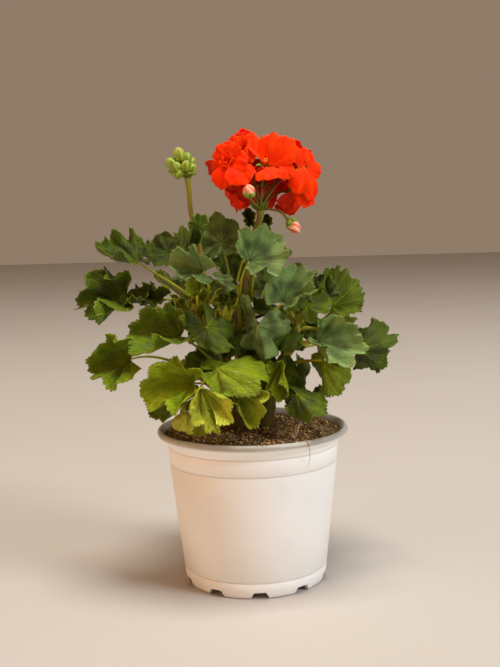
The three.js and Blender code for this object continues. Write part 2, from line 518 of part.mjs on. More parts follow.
// A point of the blade's middle surface: angle from the midrib, share of the way to the edge.
function bladePoint(leaf, axes, angle, share) {
  const turn = radians(angle);
  const [cup, fold, lift] = leaf.cup;
  const [curl, bend, across] = leaf.curl;
  const [height, count, start] = leaf.wave;
  const pleat = -0.5 * PLEAT * Math.cos((2 * Math.PI * angle) / LOBE_STEP);
  const first = radians(cup + fold * Math.sin(turn) ** 2 + lift * Math.sin(turn) + pleat);
  const change = radians(curl + bend * Math.cos(turn) + across * Math.sin(turn)
    + height * Math.sin(radians(count * angle + start)));
  const bending = Math.abs(change) < 1e-4 ? 1e-4 : change;
  const slope = first + bending * share;
  const reach = bladeReach(leaf, angle);
  const out = (reach / bending) * (Math.sin(slope) - Math.sin(first));
  const up = (reach / bending) * (Math.cos(first) - Math.cos(slope));
  return vec(...leaf.seat)
    .addScaledVector(axes.tip, out * Math.cos(turn))
    .addScaledVector(axes.side, out * Math.sin(turn))
    .addScaledVector(axes.face, up);
}

function bladeNormal(leaf, axes, angle, share) {
  const step = 2;
  const near = Math.max(share, 0.1);
  const outward = bladePoint(leaf, axes, angle, near + 0.05)
    .sub(bladePoint(leaf, axes, angle, near - 0.05));
  const around = bladePoint(leaf, axes, angle + step, near)
    .sub(bladePoint(leaf, axes, angle - step, near));
  return around.cross(outward).normalize();
}

// Rings of the blade: a middle ring between the lobes, and the lobed edge.
function bladeRings(perLobe, simple) {
  const fine = LOBE_STEP / perLobe;
  const middle = [];
  const edge = [];
  for (let a = -BLADE_HALF; a <= BLADE_HALF + 0.01 && !simple; a += LOBE_STEP) {
    middle.push([a, MIDDLE_RING]);
  }
  for (let a = -BLADE_HALF; a <= BLADE_HALF + 0.01; a += fine) {
    edge.push([a, 1]);
  }
  return { middle, edge };
}

function bladeSolid(leaf, grow = 0) {
  const axes = leafAxes(leaf.turn);
  const simple = leaf.size < SMALL_LEAF || leaf.plain;
  const perLobe = simple ? STEPS_SMALL : STEPS_PER_LOBE;
  const { middle, edge } = bladeRings(perLobe, simple);
  const stretch = 1 + grow / leaf.size;
  const spots = [[0, 0], ...middle, ...edge];
  const thickness = BLADE_THICKNESS / 2 + grow;
  const points = [];
  for (const direction of [1, -1]) {
    for (const [angle, share] of spots) {
      const normal = share === 0 ? axes.face : bladeNormal(leaf, axes, angle, share);
      const place = bladePoint(leaf, axes, angle, share * stretch);
      points.push(place.addScaledVector(normal, direction * thickness));
    }
  }
  const under = spots.length;
  const inner = (j) => 1 + j;
  const outer = (j) => 1 + middle.length + j;
  const faces = [];
  const both = (a, b, c) => faces.push([a, c, b], [under + a, under + b, under + c]);
  for (let j = 0; j + 1 < middle.length; j += 1) {
    const first = perLobe * j;
    const half = first + Math.ceil(perLobe / 2);
    both(0, inner(j), inner(j + 1));
    both(inner(j), outer(half), inner(j + 1));
    for (let k = first; k < first + perLobe; k += 1) {
      both(inner(k < half ? j : j + 1), outer(k), outer(k + 1));
    }
  }
  for (let k = 0; k + 1 < edge.length && simple; k += 1) {
    both(0, outer(k), outer(k + 1));
  }
  const outside = edge.map((spot, j) => outer(j));
  const rim = simple ? [0, ...outside] : [0, inner(0), ...outside, inner(middle.length - 1)];
  rim.forEach((from, k) => {
    const to = rim[(k + 1) % rim.length];
    faces.push([from, to, under + to, under + from]);
  });
  return solid(points, faces);
}

// Curved stalk from a node on the stem to the seat of the blade.
function stalkPath(leaf, node, steps) {
  const axes = leafAxes(leaf.turn);
  const seat = vec(...leaf.seat);
  const length = seat.distanceTo(node);
  const straight = seat.clone().sub(node).normalize();
  const arrive = unitSum(axes.face, 0.5, axes.tip, 0.35).addScaledVector(straight, 0.5).normalize();
  const leave = straight.clone().add(vec(0, 0, 0.5)).normalize();
  const second = node.clone().addScaledVector(leave, length * STALK_LEAVE);
  const third = seat.clone().addScaledVector(arrive, -length * STALK_ARRIVE)
    .add(vec(0, 0, leaf.arch));
  return new THREE.CubicBezierCurve3(node, second, third, seat).getPoints(steps);
}

function fullLeaf(row) {
  return {
    cup: [8, 0, 0], curl: [0, -10, 0], wave: [14, 4, 0], rear: 0.2, skew: 0, notch: 0.1, wide: 1,
    arch: 0, plain: false, ...row,
  };
}

function leafSolid(row, stem, grow = 0) {
  const leaf = fullLeaf(row);
  const node = stem.getPoint(BURIED + (1 - BURIED) * leaf.node);
  const stalk = stalkPath(leaf, node, STALK_STEPS);
  const start = Math.min(STALK_START, leaf.size * 0.1);
  return bladeSolid(leaf, grow)
    .add(rod(stalk, [start + grow, STALK_END + grow], STALK_SIDES));
}

// ---- pot and soil ----
function potSolid() {
  const profile = [
    [0, 0], [GUTTER_INNER, 0], [GUTTER_INNER + 0.7, GUTTER_DEPTH],
    [GUTTER_OUTER, GUTTER_DEPTH], [GUTTER_OUTER + 0.2, 0], [FOOT_RADIUS, 0.3],
    [FOOT_RADIUS + 1.3, 2.8], [FOOT_RADIUS + 2.1, 10.6],
    [SHOULDER_RADIUS, SHOULDER_HEIGHT], [NECK_RADIUS, NECK_HEIGHT],
    [NECK_RADIUS + 1.1, 97.6], [LIP_RADIUS - 3.2, 99.8], [LIP_RADIUS - 0.6, 101],
    [LIP_RADIUS, LIP_HEIGHT], [LIP_RADIUS - 0.5, 104.4], [LIP_RADIUS - 1.9, POT_HEIGHT],
    [LIP_RADIUS - 3.3, POT_HEIGHT - 0.7], [LIP_RADIUS - 4.4, 102.2],
    [NECK_RADIUS - WALL, NECK_HEIGHT + 2], [SHOULDER_RADIUS - WALL, SHOULDER_HEIGHT],
    [FOOT_RADIUS + 0.1, GUTTER_DEPTH + WALL], [GUTTER_INNER - 0.6, GUTTER_DEPTH + WALL],
    [GUTTER_INNER - 1.3, WALL], [0, WALL],
  ];
  const cuts = [];
  for (let k = 0; k < FOOT_COUNT; k += 1) {
    const heading = radians(-90 + FOOT_TURN + (360 / FOOT_COUNT) * k);
    cuts.push(footNotch(heading), drainHole(heading));
  }
  return turned(profile, POT_SIDES).subtract(joined(cuts));
}

// Tapered opening in the foot rim, pointing outward along a heading.
function footNotch(heading) {
  const outline = [
    [-NOTCH_BOTTOM / 2, -1], [NOTCH_BOTTOM / 2, -1], [NOTCH_TOP / 2, NOTCH_HEIGHT],
    [-NOTCH_TOP / 2, NOTCH_HEIGHT],
  ];
  const out = vec(Math.cos(heading), Math.sin(heading), 0);
  const across = vec(-out.y, out.x, 0);
  const points = [GUTTER_OUTER - 4, FOOT_RADIUS + 4].flatMap((radius) => outline.map(
    ([width, height]) => unitSum(out, radius, across, width).add(vec(0, 0, height)),
  ));
  return prism(points, outline.length);
}

function drainHole(heading) {
  const sides = 6;
  const centre = vec(Math.cos(heading), Math.sin(heading), 0).multiplyScalar(DRAIN_CIRCLE);
  const points = [GUTTER_DEPTH - 1, GUTTER_DEPTH + WALL + 1].flatMap((height) => {
    const ring = [];
    for (let k = 0; k < sides; k += 1) {
      const angle = (2 * Math.PI * k) / sides;
      ring.push(centre.clone().add(vec(
        DRAIN_RADIUS * Math.cos(angle), DRAIN_RADIUS * Math.sin(angle), height,
      )));
    }
    return ring;
  });
  return prism(points, sides);
}

// Solid between two matching outlines given one after the other.
function prism(points, count) {
  const faces = [];
  for (let k = 0; k < count; k += 1) {
    const next = (k + 1) % count;
    faces.push([k, next, count + next, count + k]);
  }
  faces.push([...Array(count).keys()].reverse());
  faces.push([...Array(count).keys()].map((k) => count + k));
  return solid(points, faces);
}

function soilSolid() {
  const gap = WALL + CLEAR;
  const profile = [
    [0, gap], [GUTTER_INNER - 1.7, gap], [GUTTER_INNER - 1, GUTTER_DEPTH + gap],
    [FOOT_RADIUS - 0.4, GUTTER_DEPTH + gap], [SHOULDER_RADIUS - gap, SHOULDER_HEIGHT],
    [NECK_RADIUS - gap, NECK_HEIGHT + 2], [SOIL_RADIUS, SOIL_EDGE],
    [46, SOIL_EDGE + 1.4], [32, SOIL_EDGE + 2.8], [16, SOIL_EDGE + 4], [0, SOIL_MIDDLE],
  ];
  const holes = Object.keys(STEMS).map(stemHole);
  return turned(profile, POT_SIDES).subtract(joined(holes));
}

// Plain hole round the foot of a stem.
function stemHole(name) {
  const { points, radii } = STEMS[name];
  const [[x, y, z], ...rest] = points;
  return rod(smoothPath([[x, y, z - CLEAR], ...rest], STEM_STEPS), radii, STEM_SIDES, CLEAR);
}

// ---- leafy stems ----
function stemRod(name, grow = 0) {
  return rod(smoothPath(STEMS[name].points, STEM_STEPS), STEMS[name].radii, STEM_SIDES, grow);
}

function shoot(name, grow = 0) {
  const stem = smoothCurve(STEMS[name].points);
  const leaves = LEAVES[name].map((row) => leafSolid(row, stem, grow));
  return joined([stemRod(name, grow), ...leaves]);
}

// ---- flower head ----
// An open flower is a sheet with five rounded petals, each with one edge lifted over its
// neighbour. The flowers at the front carry petals laid one by one.
function whorlPoint(whorl, angle, share) {
  const turn = radians(angle);
  const petal = Math.abs(Math.cos((Math.PI * angle) / PETAL_STEP));
  const uneven = PETAL_UNEVEN * Math.sin(2 * turn + whorl.phase);
  const rounded = (1 - PETAL_SINUS) * petal ** PETAL_ROUNDNESS;
  const reach = whorl.size * (PETAL_SINUS + rounded + uneven);
  const lifted = PETAL_TWIST * Math.sin((2 * Math.PI * angle) / PETAL_STEP);
  const first = radians(whorl.open);
  const ruffle = PETAL_RUFFLE * Math.sin(3 * turn + whorl.phase);
  const bending = radians(whorl.curl + lifted + ruffle);
  const slope = first + bending * share;
  const safe = Math.abs(bending) < 1e-4 ? 1e-4 : bending;
  const out = (reach / safe) * (Math.sin(slope) - Math.sin(first));
  const up = (reach / safe) * (Math.cos(first) - Math.cos(slope));
  const angleOnFlower = turn + radians(whorl.roll);
  return whorl.seat.clone()
    .addScaledVector(whorl.first, out * Math.cos(angleOnFlower))
    .addScaledVector(whorl.second, out * Math.sin(angleOnFlower))
    .addScaledVector(whorl.axis, up);
}

function whorlSolid(whorl, perPetal) {
  const middle = [];
  const edge = [];
  for (let k = 0; k < PETAL_COUNT; k += 1) {
    middle.push([PETAL_STEP * (k + 0.5), 0.5]);
  }
  for (let k = 0; k < PETAL_COUNT * perPetal; k += 1) {
    edge.push([PETAL_STEP * (k / perPetal + 0.5), 1]);
  }
  const spots = [[0, 0], ...middle, ...edge];
  const points = [];
  for (const direction of [1, -1]) {
    for (const [angle, share] of spots) {
      const near = Math.max(share, 0.1);
      const outward = whorlPoint(whorl, angle, near + 0.05)
        .sub(whorlPoint(whorl, angle, near - 0.05));
      const around = whorlPoint(whorl, angle + 3, near).sub(whorlPoint(whorl, angle - 3, near));
      const normal = share === 0 ? whorl.axis : outward.cross(around).normalize();
      points.push(whorlPoint(whorl, angle, share)
        .addScaledVector(normal, direction * PETAL_THICKNESS * 0.5));
    }
  }
  const under = spots.length;
  const inner = (k) => 1 + (k % PETAL_COUNT);
  const outer = (k) => 1 + PETAL_COUNT + (k % edge.length);
  const faces = [];
  const both = (a, b, c) => faces.push([a, b, c], [under + a, under + c, under + b]);
  for (let k = 0; k < PETAL_COUNT; k += 1) {
    const start = perPetal * k;
    both(0, inner(k), inner(k + 1));
    const half = Math.ceil(perPetal / 2);
    both(inner(k), outer(start + half), inner(k + 1));
    for (let m = 0; m < perPetal; m += 1) {
      both(inner(m < half ? k : k + 1), outer(start + m), outer(start + m + 1));
    }
  }
  for (let k = 0; k < edge.length; k += 1) {
    faces.push([outer(k + 1), outer(k), under + outer(k), under + outer(k + 1)]);
  }
  return solid(points, faces);
}

function floretAxes(direction) {
  const axis = vec(...direction).normalize();
  const second = vec(0, 0, 1).cross(axis).normalize();
  return { axis, first: axis.clone().cross(second).negate(), second: second.negate() };
}

function floretSolid(floret) {
  const axes = floretAxes(floret.axis);
  const seat = vec(...floret.seat);
  const outside = {
    ...axes, seat, size: floret.size, roll: floret.roll, phase: floret.roll,
    open: PETAL_OPEN, curl: PETAL_CURL,
  };
  const inside = {
    ...outside, seat: seat.clone().addScaledVector(axes.axis, INNER_WHORL_RISE),
    size: floret.size * INNER_WHORL_SHARE, roll: floret.roll + PETAL_STEP / 2,
    open: PETAL_OPEN + INNER_WHORL_OPEN, curl: PETAL_CURL * INNER_WHORL_CURL,
  };
  const foot = seat.clone().addScaledVector(axes.axis, -0.6);
  const top = seat.clone().addScaledVector(axes.axis, 1.6);
  const throat = rod([foot, top], [1.3, 1.6], 4);
  if (floret.kind === 'laid') {
    return throat;
  }
  return joined([throat, floret.kind === 'rose' ? whorlSolid(inside, 2) : whorlSolid(outside, 3)]);
}

// A petal of its own is a wedge that widens from its claw to a rounded edge.
function petalAxes(petal) {
  const claw = vec(...petal.claw);
  const along = vec(...petal.tip).sub(claw);
  const length = along.length();
  along.divideScalar(length);
  const facing = vec(...petal.facing);
  const normal = facing.addScaledVector(along, -facing.dot(along)).normalize();
  return { claw, along, length, normal, side: along.clone().cross(normal) };
}

function petalPoint(petal, axes, share, across) {
  const wider = THREE.MathUtils.smoothstep(share, 0, FULL_SPREAD);
  const spread = THREE.MathUtils.lerp(CLAW_SPREAD, 1, wider);
  const reach = share * (1 - PETAL_CORNER * Math.abs(across) ** CORNER_POWER);
  const bulge = petal.bulge * 4 * share * (1 - share);
  const dish = petal.dish * across ** 2 * share;
  return axes.claw.clone()
    .addScaledVector(axes.along, axes.length * reach)
    .addScaledVector(axes.side, 0.5 * petal.width * across * spread)
    .addScaledVector(axes.normal, axes.length * bulge - petal.width * dish);
}

function petalSolid(petal) {
  const axes = petalAxes(petal);
  const columns = petal.width > BROAD_PETAL ? [-1, -0.5, 0, 0.5, 1] : [-1, 0, 1];
  const points = [];
  for (const direction of [1, -1]) {
    for (const share of LAID_SHARES) {
      for (const across of columns) {
        points.push(petalPoint(petal, axes, share, across)
          .addScaledVector(axes.normal, direction * PETAL_THICKNESS * 0.5));
      }
    }
  }
  const wide = columns.length;
  const under = wide * LAID_SHARES.length;
  const faces = [];
  for (let i = 0; i + 1 < LAID_SHARES.length; i += 1) {
    for (let j = 0; j + 1 < wide; j += 1) {
      const quad = [i * wide + j, i * wide + j + 1, (i + 1) * wide + j + 1, (i + 1) * wide + j];
      faces.push(quad, quad.map((k) => under + k).reverse());
    }
  }
  const rim = [
    ...columns.map((across, j) => j), 2 * wide - 1,
    ...columns.map((across, j) => 3 * wide - 1 - j), wide,
  ];
  rim.forEach((from, k) => {
    const to = rim[(k + 1) % rim.length];
    faces.push([to, from, under + from, under + to]);
  });
  return solid(points, faces);
}

// The narrow foot that ties a petal to the middle of its flower.
function petalFoot(petal) {
  const flower = FLORETS.find((floret) => floret.name === petal.flower);
  const inside = petalPoint(petal, petalAxes(petal), FOOT_SHARE, 0);
  return rod([vec(...flower.seat), inside], [1, 0.8], 4);
}

// Crowded petals in the middle of the head, below the open flowers.
function headCore() {
  return turned(HEAD_OUTLINE, HEAD_SIDES, vec(...HEAD_MIDDLE));
}

function bloomPetals() {
  return joined([
    headCore(), ...FLORETS.map(floretSolid), ...PETALS.map(petalSolid),
    ...PETALS.map(petalFoot),
  ]);
}

function pedicel(floret, grow) {
  const { axis } = floretAxes(floret.axis);
  const top = vec(...floret.seat).addScaledVector(axis, -1.1);
  const root = vec(...UMBEL);
  const length = root.distanceTo(top);
  const first = top.clone().sub(root).normalize().add(vec(0, 0, 0.35)).normalize();
  const path = new THREE.CubicBezierCurve3(
    root, root.clone().addScaledVector(first, length * 0.4),
    top.clone().addScaledVector(axis, -length * 0.3), top,
  ).getPoints(4);
  const slim = PEDICEL_RADIUS;
  return rod(path, [slim * 1.2, slim, slim, slim, slim * 2], 4, grow);
}

function spindle(bud, grow = 0, from = 0, to = 1) {
  const base = vec(...bud.base);
  const tip = vec(...bud.tip);
  const shares = [0, 0.28, 0.68, 1].map((s) => from + (to - from) * s);
  const path = shares.map((s) => base.clone().lerp(tip, s));
  const radii = shares.map((s) => bud.radius * (0.3 + 0.7 * Math.sin(Math.PI * s ** 0.8) ** 0.8));
  return rod(path, radii, BUD_SIDES, grow);
}

function bloomStalk(grow = 0) {
  const peduncle = rod(smoothPath(BLOOM_PEDUNCLE, 7), [3.2, 2.8, 2.5, 2.4, 2.6, 3.4], 6, grow);
  const pedicels = FLORETS.map((floret) => pedicel(floret, grow));
  const stems = CORAL_BUDS.map((bud) => rod(
    smoothPath([UMBEL, ...bud.stem, bud.base], 5), [0.9, 0.8, 0.8, 1.1], 4, grow,
  ));
  const cups = CORAL_BUDS.map((bud) => spindle(bud, grow, 0, CALYX_SHARE));
  return joined([peduncle, ...pedicels, ...stems, ...cups]);
}

function greenBud(bud, top, grow) {
  const base = vec(...bud.base);
  const tip = vec(...bud.tip);
  const path = [top, base, base.clone().lerp(tip, 0.45), tip];
  return rod(path, [1, 1, bud.radius, bud.radius * 0.4], BUD_SIDES, grow);
}

function budStalk(grow = 0) {
  const peduncle = rod(smoothPath(BUD_PEDUNCLE, 8), [2.3, 2, 1.8, 1.6, 1.6, 2], 5, grow);
  const top = vec(...BUD_PEDUNCLE[BUD_PEDUNCLE.length - 1]);
  const buds = GREEN_BUDS.map((bud) => greenBud(bud, top.clone().setZ(top.z - 1), grow));
  return joined([peduncle, ...buds]);
}

// ---- assembly ----
function mesh(name, shape, color, roughness) {
  const data = shape.getMesh();
  const geometry = new THREE.BufferGeometry();
  const positions = new Float32Array((data.vertProperties.length / data.numProp) * 3);
  for (let k = 0; k < positions.length / 3; k += 1) {
    positions.set(data.vertProperties.slice(k * data.numProp, k * data.numProp + 3), k * 3);
  }
  geometry.setAttribute('position', new THREE.BufferAttribute(positions, 3));
  geometry.setIndex(new THREE.BufferAttribute(Uint32Array.from(data.triVerts), 1));
  geometry.computeVertexNormals();
  const material = new THREE.MeshStandardMaterial({ color, roughness, metalness: 0 });
  const result = new THREE.Mesh(geometry, material);
  result.name = name;
  return result;
}

const stemsGrown = joined(Object.keys(STEMS).map((name) => stemRod(name, CLEAR)));
const bloomRods = biggest(bloomStalk().subtract(stemsGrown));
const budRods = biggest(budStalk().subtract(stemsGrown));
const coralsGrown = joined(CORAL_BUDS.map((bud) => spindle(bud, CLEAR)));
const petals = biggest(bloomPetals().subtract(joined([bloomStalk(CLEAR), coralsGrown])));
const corals = CORAL_BUDS.map((bud) => spindle(bud, 0, CALYX_SHARE + CLEAR / 10, 1));

const plant = new THREE.Group();
plant.name = 'potted_geranium';
plant.add(mesh('flower_pot', potSolid(), '#e9e6e1', 0.45));
plant.add(mesh('potting_soil', soilSolid(), '#33241a', 0.95));
plant.add(mesh('leafy_stem_left', shoot('left'), '#6f8a2e', 0.6));
plant.add(mesh('leafy_stem_main', shoot('main'), '#6d8c5c', 0.6));
plant.add(mesh('leafy_stem_right', shoot('right'), '#64843f', 0.6));
plant.add(mesh('leafy_stem_back', shoot('back'), '#4f7334', 0.6));
plant.add(mesh('bloom_stalk', bloomRods, '#7a6a2c', 0.6));
plant.add(mesh('bloom_petals', petals, '#f8350d', 0.5));
plant.add(mesh('bud_stalk', budRods, '#93a83c', 0.6));
plant.add(mesh('coral_bud_high', corals[0], '#ef8d6c', 0.55));
plant.add(mesh('coral_bud_low', corals[1], '#ef7350', 0.55));

export default plant;
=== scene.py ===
"""Looks of a potted zonal geranium: white plastic pot, dark peat, four leafy shoots,
a scarlet flower head and a cluster of green buds. Sizes in millimetres until a piece is made."""
import math

import bmesh
import bpy
import numpy as np
from mathutils import Matrix, Vector


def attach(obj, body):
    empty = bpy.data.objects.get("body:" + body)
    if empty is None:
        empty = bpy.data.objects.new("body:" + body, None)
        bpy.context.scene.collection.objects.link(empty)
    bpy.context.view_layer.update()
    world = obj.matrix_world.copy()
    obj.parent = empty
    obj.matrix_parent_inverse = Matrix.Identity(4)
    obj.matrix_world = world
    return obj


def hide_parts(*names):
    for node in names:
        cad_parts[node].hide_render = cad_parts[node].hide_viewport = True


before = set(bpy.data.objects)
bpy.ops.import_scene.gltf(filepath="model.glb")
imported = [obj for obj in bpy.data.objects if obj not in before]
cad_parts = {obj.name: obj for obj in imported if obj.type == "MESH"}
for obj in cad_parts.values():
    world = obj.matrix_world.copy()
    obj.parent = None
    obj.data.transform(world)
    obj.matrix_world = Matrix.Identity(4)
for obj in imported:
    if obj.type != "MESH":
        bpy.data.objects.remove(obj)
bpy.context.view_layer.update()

MM = 0.001
SEED = 20
RNG = np.random.default_rng(SEED)
EAST, NORTH, UP = np.eye(3)

# ---- leaf blade ----
LOBE_STEP = 46
BLADE_HALF = 161
PLEAT = 6
NOTCH_POWER = 1.1
REAR_START = 120
REAR_LOSS = 0.06
BLADE_ANGLES = 281
BLADE_RINGS = 24
BLADE_START = 0.02
LEAF_THICKNESS = 0.45
SCALE_THICKNESS = 0.3
TOOTH_STEP = 5.75
TOOTH_DEPTH = 0.075
STALK_LEAVE = 0.38
STALK_ARRIVE = 0.34
STALK_STEPS = 22
BURIED = 0.2

# ---- flower head ----
PETAL_COUNT = 5
PETAL_STEP = 360 / PETAL_COUNT
PETAL_HALF = 42
PETAL_OPEN = 28
PETAL_CURL = -38
PETAL_TWIST = 12
PETAL_RUFFLE = 16
PETAL_LIFT = 0.9
PETAL_THICKNESS = 0.3
STAMEN_COUNT = 6
SEPAL_COUNT = 5
CALYX_SHARE = 0.42


# ======== meshes ========
class Piece:
    """Gathers points, each with two vectors for its material, and faces."""

    def __init__(self):
        self.points, self.spots, self.looks = [], [], []
        self.faces, self.slots = [], []
        self.count = 0

    def add(self, points, faces, spots, look, slot=0):
        points = vec(points).reshape(-1, 3)
        self.points.append(points)
        self.spots.append(vec(spots).reshape(-1, 3))
        self.looks.append(np.broadcast_to(vec(look), points.shape))
        for block in faces:
            block = (np.asarray(block, int) + self.count).tolist()
            self.faces.extend(block)
            self.slots.extend([slot] * len(block))
        self.count += len(points)

    def make(self, name, materials, slot, *nodes):
        mesh = bpy.data.meshes.new(name)
        mesh.from_pydata((np.concatenate(self.points) * MM).tolist(), [], self.faces)
        mesh.polygons.foreach_set("material_index", self.slots)
        mesh.polygons.foreach_set("use_smooth", [True] * len(self.faces))
        for label, rows in (("spot", self.spots), ("look", self.looks)):
            attribute = mesh.attributes.new(label, "FLOAT_VECTOR", "POINT")
            attribute.data.foreach_set("vector", np.concatenate(rows).ravel().astype(np.float32))
        for material in materials:
            mesh.materials.append(material)
        return placed(name, mesh, slot, *nodes)


def placed(name, mesh, slot, *nodes):
    """Puts a finished mesh into the scene as a piece of the plant."""
    piece = bpy.data.objects.new(name, mesh)
    bpy.context.scene.collection.objects.link(piece)
    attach(piece, "root")
    if nodes:
        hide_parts(*nodes)
    return piece


def vec(values):
    return np.asarray(values, float)


def unit(vector):
    return vec(vector) / max(np.linalg.norm(vector), 1e-9)


def smooth_step(value):
    value = np.clip(value, 0, 1)
    return value * value * (3 - 2 * value)


def spokes(first, second, count, jitter=0, start=0):
    """Directions round a middle, evenly spaced or each moved on by part of a step."""
    for number in range(count):
        moved = jitter * RNG.random() if jitter else start
        turn = 2 * np.pi * (number + moved) / count
        yield first * math.cos(turn) + second * math.sin(turn)


def shares(rows, columns, start=0):
    """Places along a small blade, from its foot to its end, and across it."""
    return np.linspace(start, 1, rows)[:, None], np.linspace(-1, 1, columns)[None, :]


def grid_normals(grid):
    normal = np.cross(np.gradient(grid, axis=1), np.gradient(grid, axis=0))
    return normal / np.maximum(np.linalg.norm(normal, axis=2, keepdims=True), 1e-9)


def grid_faces(rows, columns, wrap=False):
    """Corner numbers of the squares of a grid of points."""
    number = np.arange(rows * columns).reshape(rows, columns)
    if wrap:
        number = np.concatenate([number, number[:, :1]], axis=1)
    return np.stack([number[:-1, :-1], number[:-1, 1:], number[1:, 1:], number[1:, :-1]],
                    axis=2).reshape(-1, 4)


def round_faces(rings, sides):
    """Wall of a body made of rings of points, and its two ends."""
    last = (rings - 1) * sides
    return [grid_faces(rings, sides, True), [list(range(sides))[::-1]],
            [list(range(last, last + sides))]]


def sheet(piece, grid, spots, tone, seed, thickness, slot=0):
    """Closed thin body on both sides of a grid of points."""
    rows, columns = grid.shape[:2]
    normal = grid_normals(grid)
    normal[0] = normal[1]
    half = normal * thickness / 2
    count = rows * columns
    faces = grid_faces(rows, columns)
    number = np.arange(count).reshape(rows, columns)
    border = np.concatenate([number[0, :-1], number[:-1, -1], number[-1, :0:-1],
                             number[:0:-1, 0]])
    after = np.roll(border, -1)
    rim = np.stack([after, border, border + count, after + count], axis=1)
    look = np.zeros((2, count, 3))
    look[..., 0] = tone
    look[..., 1] = seed
    look[1, :, 2] = 1
    piece.add([grid + half, grid - half], [faces, faces[:, ::-1] + count, rim], [spots, spots],
              look.reshape(-1, 3), slot)


def thin_blade(piece, base, axes, shape, place, tone, seed, thickness, slot=0):
    """Thin closed blade. shape says how far each point lies along the three axes."""
    share, across = place
    level = 0 * share * across
    grid = base + sum(axis * (far + level)[..., None] for axis, far in zip(axes, shape))
    spots = np.stack([share + level, across + level, share + level], axis=2)
    sheet(piece, grid, spots, tone, seed, thickness, slot)


def bent(reach, first, change, share):
    """How far out and up a line gets that starts at a slope and bends evenly by a change."""
    change = np.where(np.abs(change) < 1e-4, 1e-4, change)
    slope = first + change * share
    return (reach / change * (np.sin(slope) - np.sin(first)),
            reach / change * (np.cos(first) - np.cos(slope)))


def path_frames(path):
    """Two directions across a path at each of its points, without twist."""
    along = np.gradient(path, axis=0)
    along /= np.linalg.norm(along, axis=1, keepdims=True)
    side = unit(np.cross(UP if abs(along[0][2]) < 0.9 else EAST, along[0]))
    sides = []
    for direction in along:
        side = unit(side - direction * np.dot(side, direction))
        sides.append(side)
    return np.array(sides), np.cross(along, sides)


def tube(piece, path, radii, sides, tone=0.0, seed=0.0, slot=0, ridges=None):
    """Closed round rod along a path. ridges(along, around) scales its radius."""
    path = vec(path)
    side, other = path_frames(path)
    along = np.linspace(0, 1, len(path))[:, None]
    around = (np.arange(sides) / sides)[None, :] + 0 * along
    radius = np.interp(along[:, 0], np.linspace(0, 1, len(radii)), radii)[:, None]
    if ridges is not None:
        radius = radius * ridges(along, around)
    turn = 2 * np.pi * around
    rings = path[:, None] + side[:, None] * (radius * np.cos(turn))[..., None] \
        + other[:, None] * (radius * np.sin(turn))[..., None]
    spots = np.stack([along + 0 * around, around, 0 * around], axis=2)
    piece.add(rings, round_faces(len(path), sides), spots, (tone, seed, 0), slot)


def with_ends(points):
    """The points, with one more in line before the first and after the last."""
    points = vec(points)
    return np.concatenate([[2 * points[0] - points[1]], points, [2 * points[-1] - points[-2]]])


def curve_point(ends, share):
    """Point of the smooth curve through all points but the outer two."""
    spans = len(ends) - 3
    first = min(int(share * spans), spans - 1)
    t = share * spans - first
    p0, p1, p2, p3 = ends[first:first + 4]
    v1 = 0.5 * (p2 - p0)
    v2 = 0.5 * (p3 - p1)
    return (p1 + v1 * t + (3 * (p2 - p1) - 2 * v1 - v2) * t ** 2
            + (2 * (p1 - p2) + v1 + v2) * t ** 3)


def smooth_path(points, steps):
    ends = with_ends(points)
    return np.array([curve_point(ends, share) for share in np.linspace(0, 1, steps + 1)])


def bow(start, second, third, end, steps):
    t = np.linspace(0, 1, steps + 1)[:, None]
    return ((1 - t) ** 3 * start + 3 * (1 - t) ** 2 * t * second
            + 3 * (1 - t) * t ** 2 * third + t ** 3 * end)


# ======== leaves ========
def leaf(node, seat, turn, size, cup, curl, wave, tone, **values):
    row = dict(rear=0.2, skew=0, notch=0.1, wide=1, arch=0, calm=0.75)
    row.update(values, node=node, seat=vec(seat), turn=turn, size=size, cup=cup, curl=curl,
               wave=wave, tone=tone)
    return row


def leaf_axes(turn):
    """Directions of midrib, face and side from heading, rise and roll."""
    heading, rise, roll = (math.radians(value) for value in turn)
    flat = EAST * math.cos(heading) + NORTH * math.sin(heading)
    tip = flat * math.cos(rise) + UP * math.sin(rise)
    upright = UP * math.cos(rise) - flat * math.sin(rise)
    level = EAST * math.sin(heading) - NORTH * math.cos(heading)
    face = upright * math.cos(roll) + level * math.sin(roll)
    return tip, face, np.cross(tip, face)


def blade_reach(row, angle):
    turn = np.radians(angle)
    rear = row["rear"] * (0.5 - 0.5 * np.cos(turn))
    deep = np.clip((np.abs(angle) - REAR_START) / LOBE_STEP, 0, 1)
    lobe = 1 - np.abs(np.cos(np.pi * angle / LOBE_STEP))
    notch = row["notch"] * NOTCH_POWER * lobe ** NOTCH_POWER
    return (row["size"] * (1 - rear + row["skew"] * np.sin(turn)) * (1 - REAR_LOSS * deep ** 2)
            * (1 - notch) * row["wide"] ** (np.sin(turn) ** 2))


def teeth(angle, seed):
    """Depth of the scallops of the edge."""
    uneven = angle + 2.2 * np.sin(np.radians(5.1 * angle) + 9 * seed)
    depth = 0.75 + 0.4 * np.sin(np.radians(7.3 * angle) + 13 * seed)
    return depth * (1 - np.abs(np.cos(np.pi * uneven / TOOTH_STEP)) ** 0.75)


